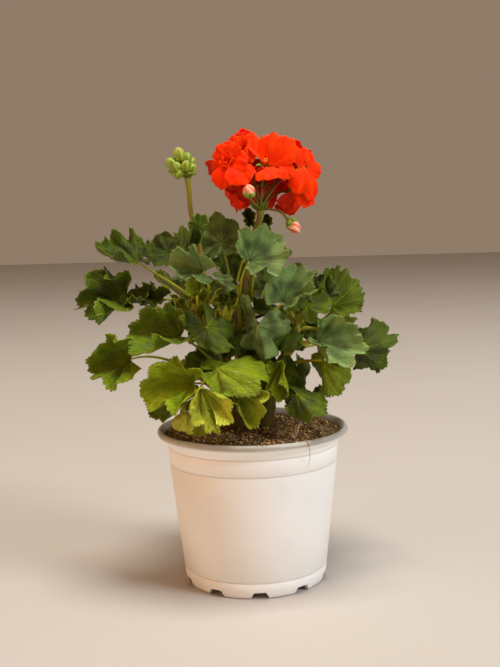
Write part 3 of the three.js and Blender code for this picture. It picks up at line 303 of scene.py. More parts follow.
def relief(row, turn, share, seed):
    """Raised fields between the veins and small crumples, in millimetres."""
    field = np.abs(np.sin(np.degrees(turn) * np.pi / LOBE_STEP))
    quilt = 0.07 * field * share * (1.1 - share)
    ruffle = 0.055 * share ** 3 * np.sin(7 * turn + 11 * seed + 2 * np.sin(2 * turn + 5 * seed))
    frill = 0.045 * share ** 5 * np.sin(15 * turn + 23 * seed + 2 * np.sin(3 * turn + seed))
    across, along = share * np.sin(turn), share * np.cos(turn)
    crumple = 0.03 * share * np.sin(9 * along + 7 * seed) * np.sin(8 * across + 5 * seed)
    pucker = 0.014 * share * np.sin(21 * along + 3 * np.sin(6 * across + seed)) \
        * np.sin(23 * across + 3 * np.sin(5 * along + 9 * seed))
    rim = 0.055 * smooth_step((share - 0.78) / 0.22) * (0.55 + 0.45 * np.sin(2 * turn + 17 * seed))
    return row["size"] * (quilt + row["calm"] * (ruffle + frill + crumple) + pucker + rim)


def blade(piece, row, seed):
    """One leaf blade, with its scallops, pleats and crumples."""
    share = BLADE_START + (1 - BLADE_START) * np.linspace(0, 1, BLADE_RINGS)[:, None] ** 0.85
    angle = np.linspace(-BLADE_HALF, BLADE_HALF, BLADE_ANGLES)[None, :] + 0 * share
    share = share + 0 * angle
    turn = np.radians(angle)
    cup, fold, lift = row["cup"]
    curl, bend, across = row["curl"]
    height, count, start = row["wave"]
    pleat = -0.5 * PLEAT * np.cos(2 * np.pi * angle / LOBE_STEP)
    first = np.radians(cup + fold * np.sin(turn) ** 2 + lift * np.sin(turn) + pleat)
    change = np.radians(curl + bend * np.cos(turn) + across * np.sin(turn)
                        + height * np.sin(np.radians(count * angle + start)))
    cut = share * (1 - TOOTH_DEPTH * teeth(angle, seed) * share ** 7)
    out, up = bent(blade_reach(row, angle), first, change, cut)
    up = up + relief(row, turn, share, seed)
    tip, face, side = leaf_axes(row["turn"])
    grid = (row["seat"] + tip * (out * np.cos(turn))[..., None]
            + side * (out * np.sin(turn))[..., None] + face * up[..., None])
    spots = np.stack([share * np.cos(turn), share * np.sin(turn), share], axis=2)
    sheet(piece, grid, spots, row["tone"], seed, LEAF_THICKNESS, LEAF)


def leaf_stalk(piece, row, node, seed):
    """Stalk that leaves the stem upwards and bends into the foot of the blade."""
    tip, face, _ = leaf_axes(row["turn"])
    seat = row["seat"]
    length = np.linalg.norm(seat - node)
    straight = unit(seat - node)
    arrive = unit(face * 0.5 + tip * 0.35 + straight * 0.5)
    leave = unit(straight + UP * 0.5)
    path = bow(node, node + leave * length * STALK_LEAVE,
               seat - arrive * length * STALK_ARRIVE + UP * row["arch"], seat, STALK_STEPS)
    thick = min(1.5, row["size"] * 0.1)
    tube(piece, path, [thick * 1.25, thick, thick * 0.85, 0.95, 0.85, 0.5], 10, row["tone"], seed,
         STALK)
    return path


def scale_leaf(piece, base, direction, up, length, width, tone, seed, slot, curl=0.6):
    """Small pointed scale, such as a stipule, a bract or a sepal."""
    share, across = place = shares(9, 7)
    direction = unit(direction)
    side = unit(np.cross(direction, up))
    half = width / 2 * (0.35 + 0.65 * np.sin(np.pi * np.clip(share * 0.8 + 0.2, 0, 1)) ** 0.8) \
        * (1 - share ** 5) + 0.04
    along = length * share * np.cos(curl * share * 0.5)
    rise = length * share * np.sin(curl * share * 0.5) + half * 0.35 * across ** 2
    thin_blade(piece, base, (direction, side, np.cross(side, direction)),
               (along, half * across, rise), place, tone, seed, SCALE_THICKNESS, slot)


# Stems: points from the soil up to the growing tip, the radius at each point, and how red.
STEMS = {
    "left": dict(points=[(-11, -8, 84), (-11, -8, 106), (-16, -12, 139), (-26, -12, 163),
                         (-31, -8, 180), (-34, -5, 191)], radii=[5, 5, 4.2, 3.8, 3.6, 2.6],
                 redness=0.1),
    "main": dict(points=[(-2, 8, 84), (-2, 8, 106), (-4, 4, 133), (-6, 1, 157), (-9, 2, 174),
                         (-11, 6, 191)], radii=[6, 6, 5.2, 4.6, 4, 3], redness=0.9),
    "right": dict(points=[(10, -3, 84), (10, -3, 106), (14, -2, 133), (24, 0, 153), (30, 2, 167),
                          (34, 4, 178)], radii=[5, 5, 4.2, 3.6, 3.2, 2.4], redness=0.4),
    "back": dict(points=[(-1, 27, 84), (-1, 27, 106), (-1, 34, 138), (-1, 42, 166),
                         (-2, 46, 188)], radii=[5, 5, 4.2, 3.4, 2.4], redness=0.5),
}

# Leaves: place along the stem, point where blade and stalk meet, turn (heading of the midrib,
# its rise, roll of the face), size, three rows that shape the blade (cup, curl and wave) and
# tone: 0 pale blue-green, 0.35 dark green, 0.6 fresh green, 1 yellow-green, 1.3 withered.
# Rear, skew, notch and wide change the outline, and calm says how far the blade is crumpled.
# Tone is partly painted light: the blue of the palest tone is partly painted reflection of the sky, some
# leaves have raised tones as painted light and others lowered tones as painted shade.
LEAVES = {
    "left": [
        leaf(0.86, (-74, -4, 219), (178, -8, -45), 30, (21, 11, -11), (11, 31, -10), (8, 5, -4), 0.35,
             rear=0.46, skew=-0.09, calm=2.1),  # tray upper left
        leaf(0.92, (-54, 4, 224), (155, 31, -61), 16, (11, 8, 0), (-3, -14, 0), (11, 4, -30), 0.3,
             rear=0.34, skew=-0.01, calm=1.4),  # fan upper left
        leaf(0.95, (-45, 6, 225), (-107, 62, 9), 18, (40, 25, 0), (14, 7, 0), (8, 4, 19), 0.35,
             rear=0.33, skew=0.03, calm=1.2),  # cup young
        leaf(0.95, (-37, -22, 228), (78, 38, 30), 23, (38, 41, 5), (13, -1, 6), (16, 4, -69), 0.4,
             rear=0.28, skew=-0.06),  # folded young
        leaf(0.72, (-29, -34, 213), (152, 15, -74), 24, (23, 40, 0), (15, 2, 8), (23, 4, -111), -0.1,
             rear=0.1, skew=0.15, notch=0.16, calm=1.3),  # pale deep lobed
        leaf(0.35, (-82, -6, 197), (150, -12, -85), 35, (37, 6, -10), (28, 2, -6), (32, 5, -79), 0.42,
             rear=0.29, skew=-0.14, calm=1.0),  # far left wavy
        leaf(0.84, (-57, -14, 195), (151, 0, -74), 18, (21, 44, 2), (10, -1, 1), (25, 4, -49), 0.35,
             rear=0.32, skew=0.04, calm=1.6),  # left ruffled
        leaf(0.22, (-45, -30, 171), (153, -5, -68), 34, (30, 23, -4), (16, -14, -3), (15, 4, -157), 0.55,
             rear=0.12, skew=-0.2, calm=1.1),  # left half fan
        leaf(0.1, (-79, -22, 156), (150, -8, -86), 28, (30, 25, -6), (10, 14, 3), (18, 4, -56), 0.68,
             rear=-0.05, skew=-0.11, arch=12, calm=1.1),  # left low
        leaf(0.8, (-27, -44, 178), (-46, -47, 42), 20, (-12, -22, 16), (-11, -17, 17), (20, 4, 131), 0.38,
             rear=-0.24, skew=-0.45, calm=1.3),  # centre left
        leaf(0.97, (-20, -24, 207), (-26, -21, 71), 13, (-24, -25, 0), (-7, -13, 0), (12, 4, -12), -0.02,
             rear=0.34, skew=0.07, calm=1.4),  # small pale
        leaf(0.2, (-21, -50, 152), (-19, 21, 40), 38, (-11, -13, 6), (-3, -57, 9), (11, 4, -71), 0.8,
             rear=0.7, skew=-0.12, calm=0.6),  # bottom bright
        # Tone raised as painted light on a leaf in shadow.
        leaf(0.1, (-9, -44, 136), (42, -75, 114), 26, (28, 34, 0), (13, 21, 0), (15, 4, -75), 1.12,
             rear=0.37, skew=-0.21, calm=0.6),  # bottom pointed
        leaf(0.16, (-37, -40, 142), (152, -9, -88), 35, (35, 22, -6), (4, -1, -14), (21, 4, -49), 1.0,
             rear=0.36, skew=-0.14, calm=0.6),  # yellow funnel
        # Tone raised as painted light: this leaf lies in shade.
        leaf(0.14, (-32, -52, 141), (123, -52, -168), 32, (44, 7, -4), (29, 27, -2), (11, 4, 2), 1.25,
             rear=0.27, skew=-0.14, calm=0.35),  # yellow hanging
        leaf(0.1, (-41, -48, 124), (-147, -41, -44), 15, (-16, -17, 5), (-34, -8, 5), (21, 4, -25), 1.3,
             rear=0.33, skew=-0.12),  # withered
        leaf(0.3, (-31, -22, 152), (174, 29, -47), 13, (2, -8, -3), (-5, -16, -4), (10, 4, 7), 0.6,
             rear=0.25, skew=-0.09),  # dark behind funnel
        leaf(0.12, (-31, -56, 121), (-141, -62, -11), 11, (1, -3, -6), (-3, -15, -7), (14, 4, -3), 0.8,
             rear=0.15, skew=-0.03),  # soil small
        leaf(0.6, (-72, -18, 193), (-179, -13, -28), 13, (23, 15, -2), (7, -3, -2), (17, 4, 27), 0.4,
             rear=0.1, skew=-0.1, calm=1.5),  # left small
        leaf(0.1, (-45, -18, 125), (-165, -18, -16), 25, (5, 0, -7), (1, -8, -7), (14, 4, 10), 0.6,
             rear=0.18, skew=0.03),  # under funnel
    ],
    "main": [
        leaf(0.97, (-18, 10, 230), (88, 77, -17), 21, (11, -13, 2), (3, 1, 3), (12, 5, 31), 0.2,
             rear=0.36, skew=-0.06, wide=0.9, calm=1.2),  # top round
        leaf(0.6, (1, -29, 219), (38, 23, 63), 26, (27, 11, 1), (12, -3, 3), (18, 4, -51), 0.03,
             rear=0.16, skew=0.06, calm=1.1),  # top right round
        leaf(0.94, (-13, 20, 207), (134, 57, -23), 17, (20, 27, -1), (0, -7, -2), (14, 4, 44), 0.4,
             rear=0.03, skew=-0.09, calm=1.4),  # dark funnel
        leaf(0.64, (5, -34, 177), (-98, -64, 8), 25, (-22, -32, 6), (-21, -21, 10), (26, 4, 164), 0.06,
             rear=-0.25, skew=-0.12, calm=1.9),  # centre hanging
        leaf(0.7, (22, -20, 191), (57, 41, 29), 27, (25, 27, 0), (14, -6, -2), (17, 4, -92), 0.05,
             rear=-0.05, skew=0.12, calm=1.0),  # blue hollow
        leaf(0.4, (4, -20, 217), (-42, -52, 73), 14, (-9, -24, -7), (-10, -19, -9), (12, 4, -13), 0.12,
             rear=0.22, skew=-0.16, calm=1.3),  # top right lobe
        leaf(0.86, (-13, -4, 193), (0, 66, 68), 9, (25, 20, 0), (0, -10, 0), (20, 4, 0), 0.6,
             ),  # bud leaf b
        leaf(1.0, (2, 10, 242), (111, 65, -18), 11, (30, 38, 1), (7, -2, 2), (15, 4, -34), 0.5,
             rear=0.25, skew=-0.03),  # bract leaf a
        leaf(0.98, (13, 10, 239), (79, 65, 5), 10, (29, 34, 0), (7, 0, 0), (16, 4, -47), 0.5,
             rear=0.19, skew=0.02),  # bract leaf b
    ],
    "right": [
        leaf(0.95, (38, -12, 187), (41, 41, 42), 15, (9, 15, 4), (-3, -1, 4), (14, 4, 3), 0.5,
             rear=0.11, skew=0.22),  # right inner
        leaf(1.0, (49, 2, 190), (67, 58, 23), 18, (28, 20, -2), (9, -1, -1), (15, 4, -37), 0.2,
             skew=-0.09, calm=1.3),  # right upright
        leaf(0.98, (57, 14, 185), (45, 20, -129), 27, (-21, -27, -8), (-19, -6, -4), (16, 4, 42), 0.42,
             rear=-0.21, skew=0.17, calm=1.2),  # right underside
        leaf(0.55, (44, -26, 165), (21, -27, 72), 32, (30, 12, 2), (21, 0, 1), (14, 4, -13), -0.03,
             rear=0.39, skew=0.1, calm=1.0),  # right pale
        leaf(0.36, (48, -30, 152), (-100, -58, 29), 27, (-19, -25, 4), (-15, -38, 2), (12, 4, -10), 0.75,
             rear=0.37, skew=0.11),  # right hanging
        # Tone lowered as painted shade.
        leaf(0.82, (75, 2, 156), (-54, 15, 96), 26, (-26, 2, 11), (-27, -26, -3), (25, 5, 80), 0.36,
             rear=0.19, skew=-0.07, calm=1.4),  # far right
        leaf(0.85, (38, 20, 173), (-63, -70, 25), 12, (6, 0, 0), (0, -10, 0), (18, 4, 0), 0.4,
             ),  # right dark
        leaf(0.18, (29, -46, 134), (-48, -9, 45), 23, (-14, -27, 4), (-13, -22, 2), (12, 4, 23), 0.45,
             rear=0.48, skew=-0.06),  # low right
        leaf(0.25, (29, -30, 133), (91, 66, -1), 11, (22, 21, -3), (6, -7, -4), (10, 4, -3), 0.5,
             rear=0.29, skew=-0.14),  # low right dark
        leaf(0.35, (19, -26, 150), (51, -67, 160), 25, (33, 33, 2), (19, 21, 4), (8, 4, 6), 0.95,
             rear=0.49, skew=-0.12),  # low hanging
        leaf(0.25, (45, -4, 122), (74, 42, -24), 12, (12, -4, 7), (1, -7, 8), (15, 4, 43), 0.6,
             rear=0.27, skew=-0.08),  # low right rear
        leaf(0.92, (33, 22, 201), (94, 82, 39), 14, (10, -2, -7), (0, -9, -8), (14, 4, 15), 0.5,
             rear=0.16, skew=-0.01),  # blue rear
    ],
    "back": [
        leaf(0.95, (-26, 44, 221), (111, 22, 16), 26, (18, 12, 4), (8, -22, 6), (16, 4, 20), 0.3,
             rear=0.22, skew=0.06),
        leaf(1.0, (10, 48, 210), (68, 12, -12), 27, (14, 18, -5), (-6, -14, -8), (18, 4, 120), 0.2,
             rear=0.15),
        leaf(0.8, (-45, 40, 189), (131, 6, 17), 29, (24, 8, 6), (14, -6, 9), (14, 5, 70), 0.35,
             rear=0.3, skew=-0.08),
        leaf(0.8, (30, 50, 187), (51, 6, -18), 28, (20, 16, -6), (10, -18, -6), (18, 4, -60), 0.3,
             skew=0.08),
        leaf(0.85, (-10, 66, 183), (96, -9, 2), 31, (12, 22, 2), (-8, -20, 4), (20, 4, 10), 0.25,
             rear=0.12),
        leaf(0.6, (-37, 62, 161), (122, -23, 11), 30, (26, 6, -4), (16, -10, 6), (16, 4, 150), 0.4,
             rear=0.26, skew=-0.05),
        leaf(0.55, (15, 64, 160), (65, -23, -7), 30, (16, 20, 6), (6, -24, -8), (16, 5, -30), 0.4),
        leaf(0.5, (54, 40, 158), (30, -3, -21), 27, (22, 10, -6), (12, -8, 8), (20, 4, 80), 0.45,
             rear=0.24, skew=0.07),
        leaf(0.3, (-11, 58, 133), (90, -37, 0), 27, (18, 14, 4), (8, -26, 5), (16, 4, -100), 0.75,
             rear=0.16),
        leaf(0.2, (-34, 46, 131), (131, -23, 15), 25, (14, 18, -4), (4, -18, -7), (18, 4, 40), 0.7,
             rear=0.22),
    ],
}

# Small leaves: crumpled young ones near the growing tips, then those between the shoots.
SMALL_LEAVES = {
    "left": [
        leaf(0.92, (-30, -14, 203), (95, 78, 20), 10, (52, 30, 4), (20, 8, 10), (26, 4, 20), 0.9),
        leaf(0.97, (-40, -9, 206), (160, 74, -30), 8, (55, 26, -6), (16, 6, -8), (24, 4, 80), 0.85),
        leaf(1.0, (-34, -8, 201), (20, 80, 10), 8, (58, 30, 0), (22, 4, 6), (22, 5, 140), 1.0),
        leaf(0.7, (-24, -20, 186), (-80, -30, 10), 13, (-10, -14, 4), (-14, -16, 6), (20, 4, 40), 0.5),
        leaf(0.85, (-33, -18, 197), (-140, -10, -20), 12, (20, 16, 4), (10, -8, 6), (24, 4, 10), 0.9),
        leaf(0.6, (-24, -14, 161), (-70, -50, -10), 14, (-8, -10, 0), (-12, -20, 4), (18, 4, 90), 0.35),
        leaf(0.75, (-46, -16, 187), (-130, -30, 20), 13, (14, 16, 0), (8, -10, 4), (22, 4, 0), 0.5),
    ],
    "main": [
        leaf(0.9, (-17, -12, 196), (120, 70, -10), 9, (50, 28, 6), (20, 6, 8), (28, 4, 10), 0.95),
        leaf(0.95, (-13, -13, 189), (30, 66, 30), 9, (48, 30, -4), (24, 6, -6), (26, 5, 60), 0.85),
        leaf(0.8, (-12, -16, 176), (-80, 40, 20), 5, (44, 24, 0), (18, 8, 6), (24, 4, 0), 0.9),
        leaf(1.0, (-9, 10, 203), (80, 72, 0), 9, (50, 26, 4), (18, 6, 0), (26, 4, 30), 0.75),
        leaf(0.7, (3, -10, 186), (-60, -25, 10), 13, (12, 14, 0), (6, -14, 6), (22, 4, 60), 0.45),
        leaf(0.25, (7, -14, 152), (-80, -60, 0), 16, (-8, -10, 0), (-12, -18, 6), (18, 4, 20), 0.35),
        leaf(0.1, (-4.5, -22, 138), (-100, -64, 0), 17, (-6, -8, 0), (-8, -14, 6), (18, 4, 10), 0.45),
        leaf(0.45, (-12, -12, 166), (-110, -50, 10), 14, (-6, -10, 0), (-12, -18, -6), (20, 4, 120), 0.45),
        leaf(0.5, (10, 14, 197), (60, 20, 0), 15, (18, 10, 4), (8, -10, 6), (18, 4, 0), 0.3),
        leaf(0.75, (-24, 24, 196), (140, 15, 0), 15, (16, 12, 4), (8, -10, 6), (18, 4, 45), 0.35),
    ],
    "right": [
        leaf(0.96, (32, -4, 189), (150, 72, -20), 8, (50, 26, 4), (18, 6, 6), (24, 4, 30), 0.8),
        leaf(0.75, (27, -12, 163), (-60, 60, 40), 7, (46, 28, 4), (20, 6, 8), (28, 4, 90), 0.6),
        leaf(0.45, (24, -14, 169), (-70, -45, 10), 14, (-6, -8, 0), (-10, -18, 8), (22, 4, 30), 0.5),
        leaf(0.3, (31, -12, 147), (-50, -60, 10), 14, (-6, -8, 0), (-10, -18, 8), (20, 4, 80), 0.4),
        leaf(0.12, (17.5, -24, 144.5), (-80, -62, 0), 16, (-6, -8, 0), (-8, -16, 6), (18, 4, 60), 0.62),
        leaf(0.6, (42, 8, 160), (30, -20, 0), 15, (14, 10, 0), (8, -14, 6), (18, 4, 10), 0.35),
    ],
    "back": [
        leaf(0.97, (-6, 44, 203), (150, 72, 0), 10, (50, 26, 4), (18, 6, 6), (24, 4, 50), 0.8),
        leaf(0.9, (6, 50, 199), (30, 66, 10), 9, (46, 26, 4), (18, 6, 6), (24, 4, 110), 0.7),
        leaf(0.5, (-26, 24, 162), (170, -10, 0), 18, (14, 12, 4), (6, -14, 6), (18, 4, 10), 0.35),
        leaf(0.45, (22, 28, 154), (10, -15, 0), 18, (14, 12, -4), (6, -14, 6), (18, 4, 70), 0.35),
        leaf(0.6, (12, 24, 178), (-20, 10, 0), 17, (16, 12, 4), (6, -14, 6), (18, 4, 130), 0.3),
        leaf(0.3, (6, 20, 138), (-60, -20, 0), 16, (10, 12, 4), (4, -16, 6), (18, 4, 100), 0.4),
    ],
}

# Tufts of fresh scales at the growing tips: foot, how many and how long.
TUFTS = {
    "left": [((-34, -20, 184), 12, 12), ((-28, -20, 178), 9, 9), ((-44, -18, 188), 8, 10)],
    "main": [((-16, -22, 180), 11, 11), ((-11, 4, 189), 7, 10)],
    "right": [((32, -4, 175), 8, 8)],
    "back": [((-2, 46, 186), 8, 10)],
}

# Material places of a shoot.
LEAF, STALK, STEM, DRY = range(4)


# ======== shoots ========
def stem_ridges(nodes):
    """Swollen joints where the leaf stalks leave the stem."""
    def ridges(along, around):
        swell = sum(0.16 * np.exp(-((along - node) / 0.018) ** 2) for node in nodes)
        return 1 + swell + 0.03 * np.cos(2 * np.pi * 5 * around + 6 * along)
    return ridges


def stipules(piece, node, direction, fresh, seed):
    """Pair of small scales at the foot of a leaf stalk."""
    for turn in (-1, 1):
        side = unit(np.cross(direction, UP)) * turn
        scale_leaf(piece, node + direction * 2.6, direction + side * 0.9 + UP * 0.5, UP,
                   5.5 + 2 * seed, 3.2, 0.7 if fresh else 0, seed, LEAF if fresh else DRY)


def tuft(piece, foot, count, length):
    """Fresh yellow-green scales and unfolding leaf stalks that stand around a growing tip."""
    for number, lean in enumerate(spokes(EAST, NORTH, count, 0.6)):
        reach = length * (0.6 + 0.5 * RNG.random())
        out = unit(lean * (0.35 + 0.5 * RNG.random()) + UP)
        start = foot + lean * 2.2
        # Scale tones above 1 are partly painted light on scales that lie in shade.
        scale_leaf(piece, start, out, lean, reach, 4 + 1.5 * RNG.random(),
                   1.2 + 0.15 * RNG.random(), RNG.random(), LEAF, curl=-0.5)
        if number % 2:
            top = start + out * reach * 1.5 + lean * 2
            tube(piece, bow(start, start + out * reach * 0.5, top - UP * reach * 0.4, top, 10),
                 [1.0, 0.8, 0.7], 8, 0.9, RNG.random(), STALK)
            scale_leaf(piece, top, out, lean, 5 + 2 * RNG.random(), 5, 0.85, RNG.random(), LEAF,
                       curl=1.2)


def shoot(stem, materials):
    piece = Piece()
    row = STEMS[stem]
    leaves = LEAVES[stem] + SMALL_LEAVES[stem]
    nodes = sorted(BURIED + (1 - BURIED) * each["node"] for each in leaves)
    tube(piece, smooth_path(row["points"], 90), row["radii"], 20, row["redness"], slot=STEM,
         ridges=stem_ridges(nodes))
    for foot, count, length in TUFTS[stem]:
        tuft(piece, vec(foot), count, length)
    ends = with_ends(row["points"])
    for each in leaves:
        seed = RNG.random()
        blade(piece, each, seed)
        node = curve_point(ends, BURIED + (1 - BURIED) * each["node"])
        path = leaf_stalk(piece, each, node, seed)
        stipules(piece, node, unit(path[2] - path[0]), each["node"] > 0.7, seed)
    return piece.make(f"shoot_{stem}", materials, "foliage", f"leafy_stem_{stem}")


# ======== flower head ========
UMBEL = vec((9, -8, 252.5))
HEAD_MIDDLE = vec((12.4, 2, 278))
HEAD_REACH = 24


def floret(seat, axis, size, roll, kind="open"):
    """Flower: seat, facing, petal length, turn about its axis, and how it is petalled."""
    return dict(seat=vec(seat), axis=unit(axis), size=size, roll=roll, kind=kind)


# Bare flowers and the one with a rose middle get their outer petals from SINGLE_PETALS.
FLORETS = [
    floret((-10.5, -15, 283.5), (-0.6, -0.75, 0.2), 15, 20, "rose"),
    floret((-6.5, -17, 273.5), (-0.45, -0.85, -0.1), 16, 200, "bare"),
    floret((-1, -2, 290.5), (-0.4, -0.35, 0.85), 18, 70, "bare"),
    floret((12.5, -19, 281), (0.12, -0.85, 0.5), 20, 330, "bare"),
    floret((35.5, -8, 278), (0.75, -0.6, 0.15), 19, 10, "bare"),
    floret((-5, 6, 267), (-0.75, 0.1, -0.15), 17, 40),
    floret((29, 10, 262.5), (0.65, 0.25, -0.25), 16, 100),
    floret((32, 12, 287), (0.6, 0.4, 0.65), 15, 50),
    floret((17, 12, 291), (0.1, 0.4, 0.9), 16, 0),
    floret((-3, 16, 292.5), (-0.45, 0.55, 0.7), 16, 30),
    floret((11, 24, 270), (0.0, 1.0, -0.15), 18, 15),
    floret((-8.5, 18, 278), (-0.75, 0.65, 0.15), 17, 60),
    floret((31.5, 20, 275.5), (0.7, 0.7, 0.1), 17, 80),
]

# Petals laid one by one over the shaped flowers: claw, tip, width, direction the upper
# side faces, how far they bulge along and dish across their length.
SINGLE_PETALS = [
    ([-12, -15, 284], [-18.5, -12, 292.5], 13, [-0.5, -0.8, 0.2], 0.1, 0.1),
    ([-11.5, -16, 285], [-4.5, -20, 293], 12, [-0.3, -0.9, 0.1], 0.1, 0.1),
    ([-13.5, -14, 283.5], [-21.5, -8, 279], 13, [-0.6, -0.7, 0.2], 0.1, 0.1),
    ([-10, -16, 284], [0, -24, 278.5], 13, [-0.1, -0.95, 0.1], 0.12, 0.08),
    ([-12.5, -15, 281.5], [-16.5, -19, 266], 15, [-0.3, -0.9, 0.3], 0.12, 0.05),
    ([-9, -17, 282], [-0.5, -26, 268], 20, [0, -0.9, 0.35], 0.12, 0.05),
    ([-15.5, -8, 282.5], [-24.5, 0, 277.5], 13, [0.4, 0.8, 0.3], 0.06, 0.1),
    ([-1.5, -8, 288], [-4.5, -9, 299.5], 17, [-0.2, -0.9, 0.3], 0.08, 0.08),
    ([1, -10, 286.5], [5.5, -6, 301.5], 8, [-0.3, -0.9, 0.2], 0.05, 0.15),
    ([-3.5, 2, 292.5], [-6, 2, 302], 11, [0.1, 0.9, 0.3], 0.05, 0.1),
    ([0.5, 4, 292.5], [1.5, 4, 303], 7, [0.1, 0.9, 0.3], 0.05, 0.1),
    ([3.5, -16, 279.5], [0, -17, 291], 12, [0.5, -0.8, 0.2], 0.08, 0.12),
    ([16, -20, 278], [28.5, -20, 296.5], 22, [0.1, -0.95, 0.25], 0.1, 0.06),
    ([12, -20, 280.5], [4, -13, 294.5], 9, [0.6, -0.75, 0.2], 0.06, 0.12),
    ([11, -21, 281], [13, -14, 299], 10, [-0.5, -0.8, 0.1], 0.05, 0.16),
    ([13.5, -21, 281], [19.5, -16, 299], 10, [0.6, -0.75, 0.1], 0.05, 0.16),
    ([4, -19, 280.5], [6, -11, 300], 10, [-0.3, -0.9, 0.1], 0.05, 0.16),
    ([15.5, -21, 278.5], [16.5, -29, 270], 21, [0, -0.75, 0.65], 0.06, 0.03),
    ([22, -21, 279.5], [29.5, -24, 271.5], 12, [0.3, -0.9, 0.2], 0.08, 0.06),
    ([35.5, -11, 276], [37, -9, 291], 13, [0.3, -0.9, 0.2], 0.08, 0.1),
    ([41, -9, 277], [43, -5, 288], 12, [0.7, -0.7, 0.2], 0.08, 0.1),
    ([39, -9, 280.5], [49, -4, 273.5], 13, [0.5, -0.8, 0.2], 0.08, 0.08),
    ([37, -10, 279], [33.5, -16, 261], 15, [0.1, -0.95, 0.1], 0.1, 0.06),
    ([39, -9, 279], [42.5, -12, 257], 14, [0.6, -0.8, 0.1], 0.08, 0.08),
    ([38, -8, 266], [39.5, -11, 252.5], 14, [0.4, -0.9, 0.2], 0.08, 0.16),
    ([36.5, -8, 282.5], [31.5, -8, 289.5], 10, [0.4, -0.9, 0.1], 0.08, 0.1),
    ([2, 0, 267.5], [-9.5, -2, 255], 18, [0.3, 0.8, 0.3], 0.05, 0.08),
    ([-3.5, 0, 269], [-13.5, 0, 262], 10, [0.3, 0.8, 0.3], 0.05, 0.08),
    ([34, 2, 264], [25, 2, 250.5], 15, [0.3, 0.8, 0.3], 0.05, 0.08),
    ([-2, 0, 291], [-13, 8, 297], 13, [-0.2, 0.1, 1], 0.1, 0.1),
    ([0, 1, 291], [4, 12, 298], 13, [0, -0.2, 1], 0.1, 0.1),
    ([13, -15, 285], [10, -2, 296], 14, [0, -0.1, 1], 0.1, 0.1),
    ([16, -15, 285], [25, -4, 294], 14, [0.1, 0, 1], 0.1, 0.1),
    ([-9, -12, 287], [-4, -1, 294], 12, [-0.2, 0, 1], 0.1, 0.1),
    ([36, -6, 281], [30, 4, 289], 12, [0.2, 0, 1], 0.1, 0.1),
]

# Closed buds of the cluster: base, tip and greatest radius.
GREEN_BUDS = [
    ((-42.5, -12, 284.5), (-44, -12, 293.5), 3.7), ((-38.5, -12, 283.5), (-37.5, -11, 290), 3.0),
    ((-46.5, -12, 281.5), (-52, -13, 285.5), 3.5), ((-43.5, -14, 278), (-46.5, -16, 283.5), 3.1),
    ((-37, -10, 281), (-33.5, -9, 286.5), 3.0), ((-39.5, -14, 278), (-38, -16, 284.5), 3.1),
    ((-37, -12, 277), (-32.5, -13, 282), 2.9), ((-44.5, -8, 277), (-51, -5, 279.5), 3.2),
    ((-42, -13, 278), (-46, -15, 273), 3.3), ((-38.5, -12, 275.5), (-33, -12, 276.5), 2.7),
    ((-42.5, -6, 281.5), (-43.5, -2, 288), 3.1), ((-38, -6, 280), (-36, -2, 286.5), 3.0),
]
CORAL_BUDS = [
    dict(name="coral_bud_high", base=vec((2, -27, 259)), tip=vec((1.5, -29, 267.5)), radius=3.7,
         stem=[(5, -18, 255)]),
    dict(name="coral_bud_low", base=vec((27, -14, 244.5)), tip=vec((34, -15, 235.5)), radius=3.7,
         stem=[(16, -10, 251.5), (22.5, -12, 249.5)]),
]
BLOOM_PEDUNCLE = [(-8, 0, 176.5), (-4, -4, 194.5), (0.5, -4, 217), (5.5, -6, 237), (8.5, -8, 246),
                  (9, -8, 252)]
BUD_PEDUNCLE = [(-29, -5, 183), (-30, -3, 206), (-32, -4, 226), (-34, -6, 236.5),
                (-37, -10, 252.5), (-37.5, -11, 264), (-38.5, -12, 274.5)]


def flower_axes(axis):
    second = unit(np.cross(UP, axis))
    return -np.cross(axis, second), -second


def petal(piece, flower, middle, seed):
    """One petal of a flower, from its claw to its rounded, ruffled edge."""
    first, second = flower_axes(flower["axis"])
    size, roll = flower["size"], flower["roll"]
    share, across = place = shares(13, 17, 0.05)
    angle = middle + PETAL_HALF * smooth_step(share / 0.5 + 0.25) * across
    turn = np.radians(angle)
    edge = 1 - 0.28 * np.abs(across) ** 2.6 + 0.045 * np.sin(6 * across + 9 * seed) \
        + 0.02 * np.sin(15 * across + 31 * seed) + 0.06 * np.sin(2 * turn + roll)
    bending = np.radians(PETAL_CURL + PETAL_TWIST * np.sin(2 * np.pi * angle / PETAL_STEP)
                         + PETAL_RUFFLE * np.sin(3 * turn + roll)
                         + 13 * np.sin(4.2 * across + 13 * seed) * share
                         + 5 * np.sin(9 * across + 29 * seed) * share ** 2)
    out, up = bent(size * edge, np.radians(PETAL_OPEN + 6 * (seed - 0.5)), bending, share)
    up = up + PETAL_LIFT * across * share \
        + size * 0.035 * share ** 2 * np.sin(8 * across + 17 * seed + 4 * share) \
        + size * 0.03 * np.sin(7 * share + 3 * across + 19 * seed) * share
    around = turn + math.radians(roll)
    thin_blade(piece, flower["seat"], (first, second, flower["axis"]),
               (out * np.cos(around), out * np.sin(around), up), place, 0, seed, PETAL_THICKNESS)


